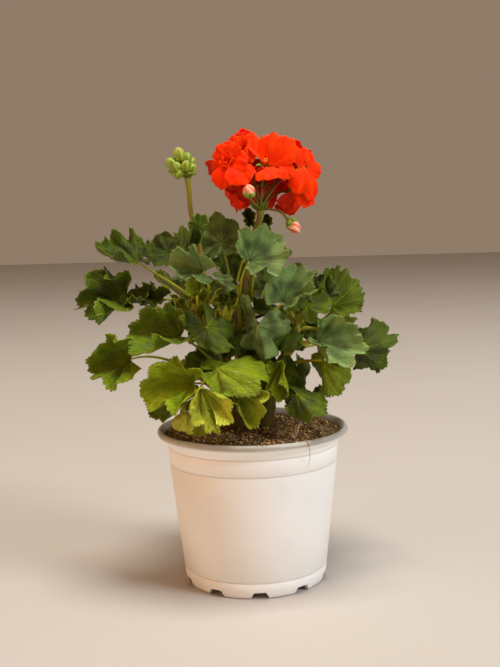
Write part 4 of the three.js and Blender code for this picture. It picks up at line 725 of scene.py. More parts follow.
def single_petal(piece, claw, tip, width, facing, bulge, dish, seed):
    """A broad wedge of a petal between two points, rounded and waved at its end."""
    claw, tip = vec(claw), vec(tip)
    length = np.linalg.norm(tip - claw)
    along = (tip - claw) / length
    normal = unit(facing - along * np.dot(facing, along))
    share, across = place = shares(17, 23, 0.03)
    spread = 0.2 + 0.8 * smooth_step(share / 0.7)
    edge = 1 - 0.2 * np.abs(across) ** 2.8 + 0.05 * np.sin(4.5 * across + 9 * seed) \
        + 0.025 * np.sin(12 * across + 31 * seed)
    wave = 0.05 * np.sin(4 * across + 13 * seed) + 0.03 * np.sin(8.5 * across + 29 * seed)
    height = length * bulge * 4 * share * (1 - share) - width * dish * across ** 2 * share \
        + width * wave * share ** 2
    sideways = width / 2 * across * spread + 0.02 * width * np.sin(5 * share + 7 * seed)
    thin_blade(piece, claw, (along, np.cross(along, normal), normal),
               (length * share * edge, sideways, height), place, 0, seed, PETAL_THICKNESS)


def rose_middle(piece, row):
    """Two close whorls of small petals around the middle of a double flower."""
    axis, seat = row["axis"], row["seat"]
    for count, reach, rise, width in ((6, 5.2, 4.2, 7.5), (4, 2.6, 4.6, 5)):
        for out in spokes(*flower_axes(axis), count, 0.4):
            single_petal(piece, seat + out * 0.6, seat + out * reach + axis * rise, width,
                         axis - out * 0.4, 0.12, 0.22, RNG.random())


def flower(piece, row):
    if row["kind"] == "open":
        for number in range(PETAL_COUNT):
            petal(piece, row, PETAL_STEP * number, RNG.random())
    if row["kind"] == "rose":
        rose_middle(piece, row)
    tube(piece, [row["seat"] + row["axis"] * height for height in (-0.8, 0.4, 1.6)],
         [1.2, 1.5, 1.3], 10)


def crowded_petals(piece):
    """Two rings of petals under the open flowers, as far out as the middle of the head. Their tone of 1
    paints them in shade.
    """
    share, across = place = shares(10, 11)
    width = 1.5 + 6.6 * smooth_step(share * 1.6)
    for count, start, end, low, high in ((11, 8, HEAD_REACH, 5, -1), (7, 1, 15, 7, 4)):
        for out in spokes(EAST, NORTH, count, 0.3):
            seed = RNG.random()
            length = start + (end - start) * share * (1 - 0.12 * np.abs(across) ** 2.4)
            rise = low + (high - low) * share ** 1.5 + 0.8 * across * share \
                + 0.7 * np.sin(5 * across + 9 * seed) * share
            thin_blade(piece, HEAD_MIDDLE, (out, np.cross(UP, out), UP),
                       (length, width * across, rise), place, 1, seed, PETAL_THICKNESS)


def stamens(piece):
    for row in FLORETS:
        if row["kind"] == "rose":
            continue
        seat, axis = row["seat"], row["axis"]
        first, second = flower_axes(axis)
        for lean in spokes(first, second, STAMEN_COUNT, 0.5):
            top = seat + axis * (3.2 + RNG.random()) + lean
            tube(piece, bow(seat + axis, seat + axis * 2.4 + lean * 0.3, top - axis * 1.2, top, 6),
                 [0.2, 0.16], 6)
            tube(piece, [top + second * place for place in (-0.5, -0.25, 0.25, 0.5)],
                 [0.1, 0.3, 0.3, 0.1], 8, tone=1)


# ======== stalks and buds ========
SKIN, BRACT, SEPAL = range(3)


def pedicel_path(row):
    axis = row["axis"]
    top = row["seat"] - axis * 1.1
    length = np.linalg.norm(top - UMBEL)
    first = unit(unit(top - UMBEL) + UP * 0.35)
    return bow(UMBEL, UMBEL + first * length * 0.4, top - axis * length * 0.3, top, 16)


def calyx(piece, top, axis):
    """Narrow green sepals behind a flower."""
    for lean in spokes(*flower_axes(axis), SEPAL_COUNT):
        scale_leaf(piece, top - axis * 1.2, axis * 0.75 + lean * 0.85, axis, 7.5, 2.6, 0.6,
                   RNG.random(), SEPAL, curl=-0.5)


def bloom_stalk(materials):
    piece = Piece()
    tube(piece, smooth_path(BLOOM_PEDUNCLE, 60), [3.2, 2.8, 2.4, 2.2, 2.3, 2.9], 18, slot=SKIN)
    for row in FLORETS:
        path = pedicel_path(row)
        tube(piece, path, [0.9, 0.68, 0.62, 0.66, 1.2], 10, tone=1, slot=SKIN)
        calyx(piece, path[-1], row["axis"])
    for bud in CORAL_BUDS:
        path = smooth_path([UMBEL, *bud["stem"], bud["base"]], 20)
        tube(piece, path, [0.9, 0.8, 0.8, 1.2], 10, tone=0.35, slot=SKIN)
        bud_sepals(piece, bud)
    for lean in spokes(EAST, NORTH, 9, 0.4):
        out = lean + UP * (0.2 + 0.5 * RNG.random())
        scale_leaf(piece, UMBEL + lean * 2.4 - UP * 1.5, out, UP, 6 + 2.5 * RNG.random(), 3.4,
                   0.6, RNG.random(), BRACT, curl=0.9)
    for lean in spokes(EAST, NORTH, 8, 0.5):
        out = lean + UP * 0.7
        tube(piece, [UMBEL, UMBEL + out * 2.5, UMBEL + out * 4.5 + UP], [0.5, 0.45, 0.9, 0.3], 8,
             tone=0.15, slot=SKIN)
    return piece.make("head_stalks", materials, "stalk", "bloom_stalk")


def bud_body(piece, base, tip, radius, turns, tone, slot, start=0.0, swirl=0.0):
    """Pointed oval body with ridges where its leaves or petals overlap."""
    share = start + (1 - start) * np.linspace(0, 1, 22)
    path = base + (tip - base) * share[:, None]
    radii = radius * (0.25 + 0.75 * np.sin(np.pi * share ** 0.85) ** 0.5) * (1 - share ** 11 * 0.7)

    def ridges(along, around):
        phase = around * turns + swirl * along
        return 1 + 0.09 * (1 - 2 * np.abs((phase % 1) - 0.5)) - 0.02
    tube(piece, path, radii, 30, tone, RNG.random(), slot, ridges)


def bud_sepals(piece, bud):
    """Green sepals that clasp the lower half of an opening bud."""
    base, reach = bud["base"], bud["tip"] - bud["base"]
    bud_body(piece, base, base + reach * CALYX_SHARE * 0.9, bud["radius"] * 0.86, SEPAL_COUNT, 0.6,
             SEPAL)
    axis = unit(reach)
    for lean in spokes(*flower_axes(axis), SEPAL_COUNT, start=0.2):
        clasp(piece, base, axis, lean, np.linalg.norm(reach) * (0.46 + 0.12 * RNG.random()),
              bud["radius"] * 1.06)


def clasp(piece, base, axis, lean, length, radius):
    share, across = place = shares(12, 7)
    bulge = radius * (0.3 + 0.7 * np.sin(np.pi * np.clip(share * 0.72, 0, 1) ** 0.8) ** 0.8)
    half = 0.55 * (1 - share ** 3) + 0.03
    shape = (length * share, bulge * np.cos(half * across) + 0.12, bulge * np.sin(half * across))
    thin_blade(piece, base, (axis, lean, np.cross(axis, lean)), shape, place, 0.6, RNG.random(),
               SCALE_THICKNESS, SEPAL)


def bud_cluster(materials):
    piece = Piece()
    tube(piece, smooth_path(BUD_PEDUNCLE, 60), [2.3, 2.0, 1.8, 1.6, 1.6, 1.9], 16, slot=SKIN)
    top = vec(BUD_PEDUNCLE[-1]) - UP
    for number, (base, tip, radius) in enumerate(GREEN_BUDS):
        base, reach = vec(base), vec(tip) - base
        tube(piece, smooth_path([top, base, base + 0.3 * reach], 10), [0.9, 0.8, 1.0], 8,
             tone=0.1, slot=SKIN)
        bud_body(piece, base - 0.1 * reach, vec(tip), radius, SEPAL_COUNT,
                 1 if number == 0 else 0.2, SEPAL, swirl=0.2)
    for lean in spokes(EAST, NORTH, 7):
        out = lean + UP * 0.1
        scale_leaf(piece, top + out * 1.4, out, UP, 5 + 1.5 * RNG.random(), 2.6, 0.6,
                   RNG.random(), BRACT, curl=0.8)
    return piece.make("bud_cluster", materials, "bud", "bud_stalk")


def coral_bud(bud, material):
    piece = Piece()
    bud_body(piece, bud["base"], bud["tip"], bud["radius"], 4, 0, 0, CALYX_SHARE - 0.12, 0.9)
    return piece.make(bud["name"] + "_petals", [material], "coral", bud["name"])


# ======== pot and peat ========
POT_SIDES = 160
FOOT_COUNT = 10
FOOT_TURN = 2.6
GUTTER_DEPTH = 5
NOTCH = dict(bottom=13.8, top=7.8, height=4.7, inside=40.8, outside=51)
DRAIN_RADIUS = 2.5
DRAIN_CIRCLE = 40.3
DRAIN_SIDES = 24
POT_OUTLINE = [
    (0.02, 0), (35.9, 0), (36.6, 5), (44.8, 5), (45, 0.1), (46.2, 0), (47, 0.3), (47.8, 1.2),
    (48.4, 2.6), (48.9, 6), (49.3, 10.3), (49.1, 10.6), (49.05, 10.9), (49.15, 11.2),
    (49.4, 11.5), (53.5, 47), (57.25, 82.5), (57.07, 82.75), (57.05, 83), (57.15, 83.25),
    (57.45, 83.5), (58.05, 93.7), (57.88, 94), (57.86, 94.3), (57.95, 94.6), (58.2, 94.9),
    (58.6, 96.2), (59.5, 97.7), (61, 98.9), (62.6, 99.9), (64.1, 101), (65, 102.7),
    (64.8, 104.1), (64.1, 105.1), (63.1, 105.5), (62.2, 105.2), (61.5, 104.2), (60.4, 102),
    (56.8, 96.6), (55.9, 83), (47.3, 6.3), (35.3, 6.3), (34.6, 1.3), (0.02, 1.3),
]
SOIL_OUTLINE = [(0.02, 1.6), (34.2, 1.6), (34.9, 6.6), (46.8, 6.6), (55.6, 83), (56.5, 96.6)]
SOIL_RADIUS = 59.8
SOIL_SIDES = 220
SOIL_RINGS = 70
SOIL_HEIGHTS = ((0, 16, 32, 46, SOIL_RADIUS), (106, 105.4, 104.2, 102.9, 101.6))
STEM_CLEARANCE = 7
CRUMB_COUNT = 2900
PERLITE_COUNT = 100
STRAND_COUNT = 420
RIM_RADIUS = 62.9
CRUMB, PERLITE, FIBRE = range(3)


def turned(outline, sides):
    """Points of a body of revolution, ring by ring."""
    turn = 2 * np.pi * np.arange(sides) / sides
    radius, height = vec(outline).T[..., None]
    return np.stack([radius * np.cos(turn), radius * np.sin(turn), height + 0 * turn], axis=2)


def pot_cutter():
    """Foot notches and drain holes, as one closed mesh of separate blocks."""
    mesh = bmesh.new()
    half, narrow, height = NOTCH["bottom"] / 2, NOTCH["top"] / 2, NOTCH["height"]
    outline = [(-half, -1), (half, -1), (narrow + 0.5, height - 0.7), (narrow - 0.3, height),
               (0.3 - narrow, height), (-narrow - 0.5, height - 0.7)]
    for number in range(FOOT_COUNT):
        heading = math.radians(-90 + FOOT_TURN + 360 / FOOT_COUNT * number)
        out = EAST * math.cos(heading) + NORTH * math.sin(heading)
        across = np.cross(UP, out)
        block(mesh, [[out * radius + across * wide + UP * high for wide, high in outline]
                     for radius in (NOTCH["inside"], NOTCH["outside"])])
        corners = [out * DRAIN_CIRCLE + DRAIN_RADIUS * spoke
                   for spoke in spokes(EAST, NORTH, DRAIN_SIDES)]
        block(mesh, [[corner + UP * level for corner in corners]
                     for level in (GUTTER_DEPTH - 1, GUTTER_DEPTH + 3)])
    bmesh.ops.recalc_face_normals(mesh, faces=mesh.faces)
    result = bpy.data.meshes.new("cutter")
    mesh.to_mesh(result)
    mesh.free()
    return result


def block(mesh, ends):
    rings = [[mesh.verts.new(point * MM) for point in end] for end in ends]
    mesh.faces.new(rings[0][::-1])
    mesh.faces.new(rings[1])
    for k, corner in enumerate(rings[0]):
        after = (k + 1) % len(rings[0])
        mesh.faces.new((corner, rings[0][after], rings[1][after], rings[1][k]))


def pot(material):
    """Turned wall with the foot notches and drain holes cut out."""
    wall = bpy.data.meshes.new("pot_wall")
    sides, *ends = round_faces(len(POT_OUTLINE), POT_SIDES)
    faces = sides.tolist() + [end[0] for end in ends]
    wall.from_pydata((turned(POT_OUTLINE, POT_SIDES).reshape(-1, 3) * MM).tolist(), [], faces)
    helpers = [bpy.data.objects.new(name, mesh)
               for name, mesh in (("pot_wall", wall), ("cutter", pot_cutter()))]
    for helper in helpers:
        bpy.context.scene.collection.objects.link(helper)
    body, cutter = helpers
    cut = body.modifiers.new("openings", "BOOLEAN")
    cut.operation = "DIFFERENCE"
    cut.object = cutter
    finished = bpy.data.meshes.new_from_object(
        body.evaluated_get(bpy.context.evaluated_depsgraph_get()))
    for helper in helpers:
        bpy.data.objects.remove(helper)
    finished.materials.clear()
    finished.materials.append(material)
    finished.shade_smooth()
    finished.set_sharp_from_angle(angle=math.radians(50))
    return placed("nursery_pot", finished, "pot_plastic", "flower_pot")


def soil_height(x, y):
    radius = np.hypot(x, y)
    heap = 1.0 * np.sin(0.21 * x + 1.3) * np.sin(0.17 * y + 0.4)
    grain = 0.7 * np.sin(0.55 * x + 2 * np.sin(0.3 * y)) * np.sin(0.5 * y + 1.7 * np.sin(0.4 * x))
    fine = 0.35 * np.sin(1.7 * x + 1.1 * y) * np.sin(1.9 * y - 0.8 * x)
    flat = smooth_step((SOIL_RADIUS - radius) / 6)
    return np.interp(radius, *SOIL_HEIGHTS) + (heap + grain + fine) * (0.35 + 0.65 * flat)


def peat(material):
    piece = Piece()
    rings = np.linspace(1, 0.002, SOIL_RINGS) * SOIL_RADIUS
    outline = SOIL_OUTLINE + [(radius, 0) for radius in rings]
    grid = turned(outline, SOIL_SIDES)
    upper = grid[len(SOIL_OUTLINE):]
    upper[..., 2] = soil_height(upper[..., 0], upper[..., 1])
    piece.add(grid, round_faces(len(outline), SOIL_SIDES), grid * 0, (0, 0, 0))
    return piece.make("peat_fill", [material], "soil", "potting_soil")


def soil_spot(limit=SOIL_RADIUS - 1.5):
    """Random place on the peat, clear of the stems."""
    while True:
        radius = limit * math.sqrt(RNG.random())
        turn = 2 * np.pi * RNG.random()
        x, y = radius * math.cos(turn), radius * math.sin(turn)
        feet = [stem["points"][0] for stem in STEMS.values()]
        if all(math.hypot(x - foot[0], y - foot[1]) > STEM_CLEARANCE for foot in feet):
            return vec((x, y, soil_height(x, y)))


def grain_shape():
    ball = bmesh.new()
    bmesh.ops.create_icosphere(ball, subdivisions=1, radius=0.5)
    corners = np.array([corner.co[:] for corner in ball.verts])
    faces = [[corner.index for corner in face.verts] for face in ball.faces]
    ball.free()
    return corners, faces


def grain(piece, shape, middle, size, tone, slot):
    """Small angular lump."""
    corners, faces = shape
    stretch = 0.55 + 0.75 * RNG.random(3)
    turn = Matrix.Rotation(6.28 * RNG.random(), 3, Vector(RNG.normal(size=3)).normalized())
    points = corners * (0.75 + 0.5 * RNG.random((len(corners), 1))) * stretch * size
    piece.add(points @ np.array(turn) + middle, [faces], points * 0, (tone, RNG.random(), 0),
              slot)


def litter(materials):
    """Loose crumbs, white grains and plant fibres on the peat."""
    piece = Piece()
    shape = grain_shape()
    for count, least, more, power, rise, slot in (
            (CRUMB_COUNT, 0.55, 2.1, 3, 0.18, CRUMB), (PERLITE_COUNT, 0.7, 1.1, 2, 0.3, PERLITE)):
        for _ in range(count):
            size = least + more * RNG.random() ** power
            grain(piece, shape, soil_spot() + UP * rise * size, size, RNG.random(), slot)
    for _ in range(STRAND_COUNT):
        strand(piece, soil_spot(SOIL_RADIUS - 6), 3 + 7 * RNG.random() ** 2,
               0.12 + 0.16 * RNG.random(), RNG.random())
    dry_sprig(piece)
    rim_threads(piece)
    return piece.make("peat_litter", materials, "soil")


def strand(piece, middle, length, radius, tone):
    turn = 2 * np.pi * RNG.random()
    along = EAST * math.cos(turn) + NORTH * math.sin(turn)
    side = np.cross(UP, along) * length * 0.3 * (RNG.random() - 0.5)
    ends = [middle - along * length / 2, middle + side, middle + along * length / 2]
    points = []
    for number, (x, y, _) in enumerate(ends):
        lift = 0.25 + (0.8 * RNG.random() if number != 1 else 0.5)
        points.append((x, y, soil_height(x, y) + lift))
    tube(piece, smooth_path(points, 6), [radius, radius, radius * 0.6], 4, tone,
         RNG.random(), FIBRE)


def dry_sprig(piece):
    """Crumpled dry stipule that lies on the peat at the front."""
    x, y = 26.5, -38
    foot = vec((x, y, soil_height(x, y)))
    for lean, length in (((0.45, 0, 1.1), 9.5), ((0.3, 0.1, 1.2), 8), ((-0.2, 0, 1), 4),
                         ((0.9, -0.1, -0.05), 5)):
        reach = vec(lean) * length
        path = bow(foot - UP * 0.5, foot + reach * 0.3 + (1.2, -0.8, 0),
                   foot + reach - (1.6, 0, 1.5), foot + reach, 12)
        tube(piece, path, [0.35, 0.7, 0.95, 0.75, 0.3], 6, 1.0, RNG.random(), FIBRE)


def rim_threads(piece):
    """Thin roots that hang over the pot's edge, and a few dark fibres beside them."""
    tube(piece, smooth_path([(29, -48, 101), (31.5, -51.5, 105), (33.6, -53.9, 106),
                             (35, -54.9, 104), (35.6, -54.2, 99.5), (36, -50.5, 94),
                             (34.8, -50.2, 88.5)], 36), [0.22, 0.24, 0.2, 0.12], 6, 0.9, 0.3,
         FIBRE)
    for x, lean, length in ((2, 5, 4), (5, 1, 5), (8, 4, 3.5)):
        y = -math.sqrt(RIM_RADIUS ** 2 - x ** 2)
        tube(piece, smooth_path([(x - lean, y + 4, 103.6), (x - lean / 3, y + 1, 105.7),
                                 (x, y, 105.9), (x + 1, y - length / 3, 105.4)], 12),
             [0.2, 0.22, 0.14], 5, 0.1, 0.6, FIBRE)


# ======== materials ========
class Term:
    """Value of a shader node, with the signs of arithmetic."""

    def __init__(self, shader, socket):
        self.shader = shader
        self.socket = socket

    def __add__(self, other):
        return self.shader.math("ADD", self, other)

    def __sub__(self, other):
        return self.shader.math("SUBTRACT", self, other)

    def __rsub__(self, other):
        return self.shader.math("SUBTRACT", other, self)

    def __mul__(self, other):
        return self.shader.math("MULTIPLY", self, other)

    def __truediv__(self, other):
        return self.shader.math("DIVIDE", self, other)

    def __abs__(self):
        return self.shader.math("ABSOLUTE", self)

    __radd__ = __add__
    __rmul__ = __mul__


SUBSURFACE = ("Subsurface_Weight", "Subsurface_Radius", "Subsurface_Scale")


class Shader:
    """Builds one node material."""

    def __init__(self, name):
        self.material = bpy.data.materials.new(name)
        self.material.use_nodes = True
        self.tree = self.material.node_tree
        self.surface = self.tree.nodes["Principled BSDF"]

    def node(self, kind, *values, **settings):
        """New node with its settings, and with values for its first sockets."""
        made = self.tree.nodes.new(kind)
        for key, value in settings.items():
            setattr(made, key, value)
        for socket, value in zip(made.inputs, values):
            self.feed(socket, value)
        return made

    def feed(self, socket, value):
        if isinstance(value, Term):
            self.tree.links.new(value.socket, socket)
        elif value is not None:
            socket.default_value = value

    def math(self, operation, *values, clamp=False):
        made = self.node("ShaderNodeMath", *values, operation=operation, use_clamp=clamp)
        return Term(self, made.outputs[0])

    def vector(self, operation, a, b=None, scale=None):
        made = self.node("ShaderNodeVectorMath", a, b, None, scale, operation=operation)
        return Term(self, made.outputs["Vector"])

    def attribute(self, name):
        made = self.node("ShaderNodeAttribute", attribute_name=name)
        return Term(self, made.outputs["Vector"])

    def split(self, vector):
        return [Term(self, socket) for socket in self.node("ShaderNodeSeparateXYZ", vector).outputs]

    def join(self, x, y, z):
        return Term(self, self.node("ShaderNodeCombineXYZ", x, y, z).outputs[0])

    def place(self):
        return Term(self, self.node("ShaderNodeTexCoord").outputs["Object"])

    def noise(self, vector, scale, detail=3.0, roughness=0.5, output="Fac"):
        made = self.node("ShaderNodeTexNoise", vector)
        made.inputs["Scale"].default_value = scale
        made.inputs["Detail"].default_value = detail
        made.inputs["Roughness"].default_value = roughness
        return Term(self, made.outputs[output])

    def cells(self, vector, scale, feature="DISTANCE_TO_EDGE"):
        made = self.node("ShaderNodeTexVoronoi", vector, feature=feature)
        made.inputs["Scale"].default_value = scale
        return Term(self, made.outputs["Distance"])

    def step(self, value, low, high, first=0.0, last=1.0):
        made = self.node("ShaderNodeMapRange", value, low, high, first, last,
                         interpolation_type="SMOOTHSTEP")
        return Term(self, made.outputs[0])

    def ramp(self, value, stops):
        made = self.node("ShaderNodeValToRGB", value)
        elements = made.color_ramp.elements
        while len(elements) < len(stops):
            elements.new(0.5)
        for element, (place, colour) in zip(elements, stops):
            element.position = place
            element.color = (*colour, 1)
        return Term(self, made.outputs[0])

    def mix(self, share, first, second, mode="MIX"):
        made = self.node("ShaderNodeMix", share, data_type="RGBA", blend_type=mode)
        for socket, value in zip(made.inputs[6:8], (first, second)):
            self.feed(socket, (*value, 1) if isinstance(value, tuple) else value)
        return Term(self, made.outputs[2])

    def bump(self, height, distance, strength=0.6):
        made = self.node("ShaderNodeBump")
        made.inputs["Strength"].default_value = strength
        made.inputs["Distance"].default_value = distance
        self.feed(made.inputs["Height"], height)
        self.tree.links.new(made.outputs[0], self.surface.inputs["Normal"])

    def finish(self, colour, roughness, subsurface=(), **constants):
        """Ends the material. subsurface holds its weight, radius and scale."""
        self.feed(self.surface.inputs["Base Color"], colour)
        self.feed(self.surface.inputs["Roughness"], roughness)
        constants.update(zip(SUBSURFACE, subsurface))
        for label, value in constants.items():
            self.surface.inputs[label.replace("_", " ")].default_value = value
        return self.material


# The blue of the first stop is partly painted reflection of the sky; the top stop is partly painted light,
# brighter than the leaves' own yellow-green.
LEAF_TONES = [(0.0, (0.235, 0.35, 0.105)), (0.27, (0.060, 0.098, 0.002)),
              (0.46, (0.115, 0.180, 0.002)), (0.77, (0.30, 0.38, 0.002)),
              (1.0, (0.70, 0.71, 0.07))]
TONE_TOP = 1.3
CLOUD_SHADE = [(0.3, (0.75, 0.75, 0.75)), (0.7, (1.35, 1.35, 1.35))]


def vein_masks(s, seed):
    """Main veins from the seat to each lobe, their side branches, and the fine net."""
    spot = s.attribute("spot")
    moved = s.vector("ADD", spot, s.join(17.0 * seed, 31.0 * seed, 0.0))
    wander = s.vector("SUBTRACT", s.noise(moved, 4.0, 2.0, output="Color"), (0.5, 0.5, 0.5))
    x, y, _ = s.split(s.vector("ADD", spot, s.vector("SCALE", wander, scale=0.07)))
    share = s.math("SQRT", x * x + y * y)
    lobe = s.math("ARCTAN2", y, x) / math.radians(LOBE_STEP)
    fold = lobe - s.math("ROUND", lobe)
    angle = fold * math.radians(LOBE_STEP)
    along = share * s.math("COSINE", angle)
    away = abs(share * s.math("SINE", angle))
    main = s.step(away, 0.0, 0.034 - 0.018 * share, 1.0, 0.0)
    count = 0.45 * s.math("GREATER_THAN", fold, 0.0) + 7.5 * (along - 1.25 * away)
    near = abs(s.math("FRACT", count) - 0.5)
    branch = s.step(near, 0.0, 0.11, 1.0, 0.0) * s.step(along, 0.2, 0.34)
    cell = s.cells(moved, 16.0)
    net = s.step(cell, 0.0, 0.07, 1.0, 0.0)
    return main, branch, net, share, moved, s.step(cell, 0.0, 0.4)


def leaf_material():
    """Blade with a dark zone, paler veins and rim, and a duller underside."""
    s = Shader("leaf_blade")
    tone, seed, under = s.split(s.attribute("look"))
    main, branch, net, share, moved, dome = vein_masks(s, seed)
    cloud = s.noise(moved, 2.6, 3.0, 0.6)
    speck = s.noise(s.place(), 900.0, 2.0)
    varied = s.math("ADD", tone / TONE_TOP, 0.26 * cloud - 0.13, clamp=True)
    base = s.mix(0.75, s.ramp(varied, LEAF_TONES), s.ramp(cloud, CLOUD_SHADE), "MULTIPLY")
    out = share + (0.24 * cloud - 0.12)
    zone = s.step(out, 0.24, 0.42) * s.step(out, 0.5, 0.72, 1.0, 0.0)
    zone = zone * s.step(tone, 0.45, 0.8, 0.62, 0.08) * s.step(tone, -0.1, 0.0)
    base = s.mix(zone, base, (0.040, 0.045, 0.022))
    base = s.mix(s.step(speck, 0.35, 0.7, 0.0, 0.08), base, (0.3, 0.34, 0.08))
    pale = s.mix(s.step(tone, 0.0, 0.35), (0.33, 0.42, 0.15), (0.42, 0.50, 0.012))
    dull = s.mix(s.step(tone, 0.3, 0.8), (0.10, 0.14, 0.006), (0.26, 0.30, 0.004))
    base = s.mix(under, base, s.mix(0.5, base, dull))
    veins = s.math("MAXIMUM", main, 0.6 * branch)
    base = s.mix(net * (0.15 * under + 0.16), base, pale)
    base = s.mix(veins * (0.25 * under + s.step(tone, 0.3, 0.8, 0.42, 0.62)), base, pale)
    base = s.mix(s.step(share, 0.95, 1.02, 0.0, 0.35), base, (0.30, 0.33, 0.05))
    side = 1.0 - 2.0 * under
    s.bump(0.5 * cloud + side * (0.25 * dome - veins - 0.35 * net), 0.0009, 0.85)
    return s.finish(base, s.step(cloud, 0.3, 0.7, 0.36, 0.50), (0.12, (0.6, 1.0, 0.25), 0.0012),
                    Specular_IOR_Level=0.24)


def skin_material(name, low, high, red, bump=0.0002):
    """Stalk skin: fine lengthwise lines, flecks and a change of colour along it and by tone."""
    s = Shader(name)
    tone, seed, _ = s.split(s.attribute("look"))
    along, around, _ = s.split(s.attribute("spot"))
    lines = s.noise(s.join(26.0 * around, 3.0 * along, seed), 1.0, 3.0)
    cloud = s.noise(s.place(), 120.0, 4.0)
    fleck = s.noise(s.place(), 1500.0, 2.0)
    colour = s.mix(s.math("ADD", along, 0.5 * cloud - 0.25, clamp=True), low, high)
    colour = s.mix(s.step(cloud, 0.42, 0.66) * (0.7 * tone + 0.2), colour, red)
    groove = s.mix(0.5, colour, (0.02, 0.015, 0.005))
    colour = s.mix(s.step(lines, 0.35, 0.75, 0.0, 0.4), colour, groove)
    colour = s.mix(s.step(fleck, 0.55, 0.8, 0.0, 0.14), colour, (0.45, 0.48, 0.2))
    s.bump(lines + 0.4 * fleck, bump, 0.6)
    return s.finish(colour, s.step(cloud, 0.3, 0.7, 0.42, 0.6), (0.1, (1.0, 0.8, 0.3), 0.001),
                    Specular_IOR_Level=0.3)


def petal_material():
    """Scarlet with darker lines along the petal, a lighter rim, an orange claw and painted shade on the
    crowded petals.
    """
    s = Shader("scarlet_petal")
    tone, seed, under = s.split(s.attribute("look"))
    share, across, _ = s.split(s.attribute("spot"))
    lines = s.noise(s.join(14.0 * across, 2.2 * share, 40.0 * seed), 1.0, 2.0)
    cloud = s.noise(s.join(across, share, 23.0 * seed), 2.2, 3.0)
    colour = s.mix(s.step(cloud, 0.3, 0.72), (0.93, 0.020, 0.0003), (0.98, 0.052, 0.0004))
    colour = s.mix(s.step(share, 0.0, 0.28, 0.5, 0.0), colour, (0.98, 0.12, 0.004))
    colour = s.mix(s.step(lines, 0.52, 0.72, 0.0, 0.3), colour, (0.55, 0.002, 0.0006))
    rim = s.step(share + 0.06 * abs(across), 0.93, 1.04, 0.0, 0.45)
    colour = s.mix(rim, colour, (0.98, 0.085, 0.004))
    beneath = s.mix(s.step(cloud, 0.3, 0.7), (0.86, 0.035, 0.012), (0.90, 0.08, 0.035))
    colour = s.mix(0.6 * under, colour, beneath)
    # Painted shade: petals with a high tone, the crowded ones inside the head, turn dark red.
    colour = s.mix(s.step(tone, 0.75, 1.0, 0.0, 0.7), colour, (0.50, 0.004, 0.001))
    s.bump(lines + 0.8 * cloud, 0.00025, 0.6)
    return s.finish(colour, s.step(cloud, 0.3, 0.7, 0.5, 0.62), (0.15, (1.0, 0.1, 0.02), 0.001),
                    Specular_IOR_Level=0.05)


def stamen_material():
    s = Shader("stamen")
    tone, _, _ = s.split(s.attribute("look"))
    speck = s.noise(s.place(), 2500.0, 2.0)
    colour = s.mix(tone, (0.95, 0.22, 0.06), (0.80, 0.33, 0.03))
    colour = s.mix(s.step(speck, 0.4, 0.7, 0.0, 0.5), colour, (0.95, 0.55, 0.12))
    s.bump(speck, 0.0001, 0.5)
    return s.finish(colour, 0.6)


def bud_material():
    """Overlapping sepals: pale ridges, darker seams, coral showing where tone is high."""
    s = Shader("bud_sepal")
    tone, _, _ = s.split(s.attribute("look"))
    along, around, _ = s.split(s.attribute("spot"))
    ridge = abs(s.math("FRACT", 5.0 * around + 0.2 * along) - 0.5)
    cloud = s.noise(s.place(), 260.0, 3.0)
    colour = s.mix(s.step(ridge, 0.0, 0.42), (0.34, 0.44, 0.016), (0.13, 0.21, 0.006))
    colour = s.mix(s.step(cloud, 0.35, 0.7, 0.0, 0.3), colour, (0.40, 0.48, 0.05))
    seam = s.step(ridge, 0.38, 0.46) * s.step(along, 0.25, 0.7)
    colour = s.mix(s.step(tone, 0.85, 0.95) * seam, colour, (0.88, 0.33, 0.16))
    blush = s.step(along, 0.7, 1.0, 0.0, 0.4) * s.step(cloud, 0.4, 0.6)
    colour = s.mix(blush, colour, (0.45, 0.20, 0.08))
    s.bump(cloud + s.step(ridge, 0.36, 0.5, 1.0, 0.0), 0.0003, 0.7)
    return s.finish(colour, 0.5, (0.12, (0.8, 1.0, 0.3), 0.001), Sheen_Weight=0.05, Sheen_Roughness=0.4)


def coral_material():
    """Four rolled petals: coral in their seams, salmon on their backs."""
    s = Shader("coral_petal")
    along, around, _ = s.split(s.attribute("spot"))
    phase = s.math("FRACT", 4.0 * around + 0.9 * along)
    cloud = s.noise(s.place(), 420.0, 3.0)
    colour = s.ramp(phase, [(0.0, (0.74, 0.05, 0.02)), (0.12, (0.92, 0.22, 0.10)),
                            (0.42, (0.95, 0.60, 0.40)), (0.62, (0.94, 0.50, 0.30)),
                            (0.82, (0.90, 0.15, 0.07)), (1.0, (0.70, 0.04, 0.02))])
    colour = s.mix(s.step(along, 0.7, 1.0, 0.0, 0.5), colour, (0.93, 0.16, 0.09))
    colour = s.mix(s.step(cloud, 0.4, 0.7, 0.0, 0.25), colour, (0.96, 0.55, 0.33))
    s.bump(phase + cloud, 0.0003, 0.5)
    return s.finish(colour, 0.45, (0.2, (1.0, 0.4, 0.2), 0.0012))


def dry_material():
    s = Shader("dry_scale")
    cloud = s.noise(s.place(), 500.0, 4.0)
    colour = s.ramp(cloud, [(0.3, (0.10, 0.045, 0.02)), (0.7, (0.38, 0.23, 0.10))])
    s.bump(cloud, 0.0003, 0.7)
    return s.finish(colour, 0.8)


# Heights on the pot in metres, as its material reads them. The painted shade inside the lip lies
# within a radius that grows with the height.
GROOVE_LEVELS = (0.0109, 0.083, 0.0943)
# The collar under the lip gets painted light between these heights.
COLLAR_LIGHT_START, COLLAR_LIGHT_END = 0.06, 0.088
GREY_LIP_START, GREY_LIP_END = 0.1006, 0.1030
RIM_SHADE_FOOT = 0.0965
RIM_SHADE_START, RIM_SHADE_END = 0.1035, 0.1015
LIP_SLOPE, LIP_START = 0.6667, -0.0068


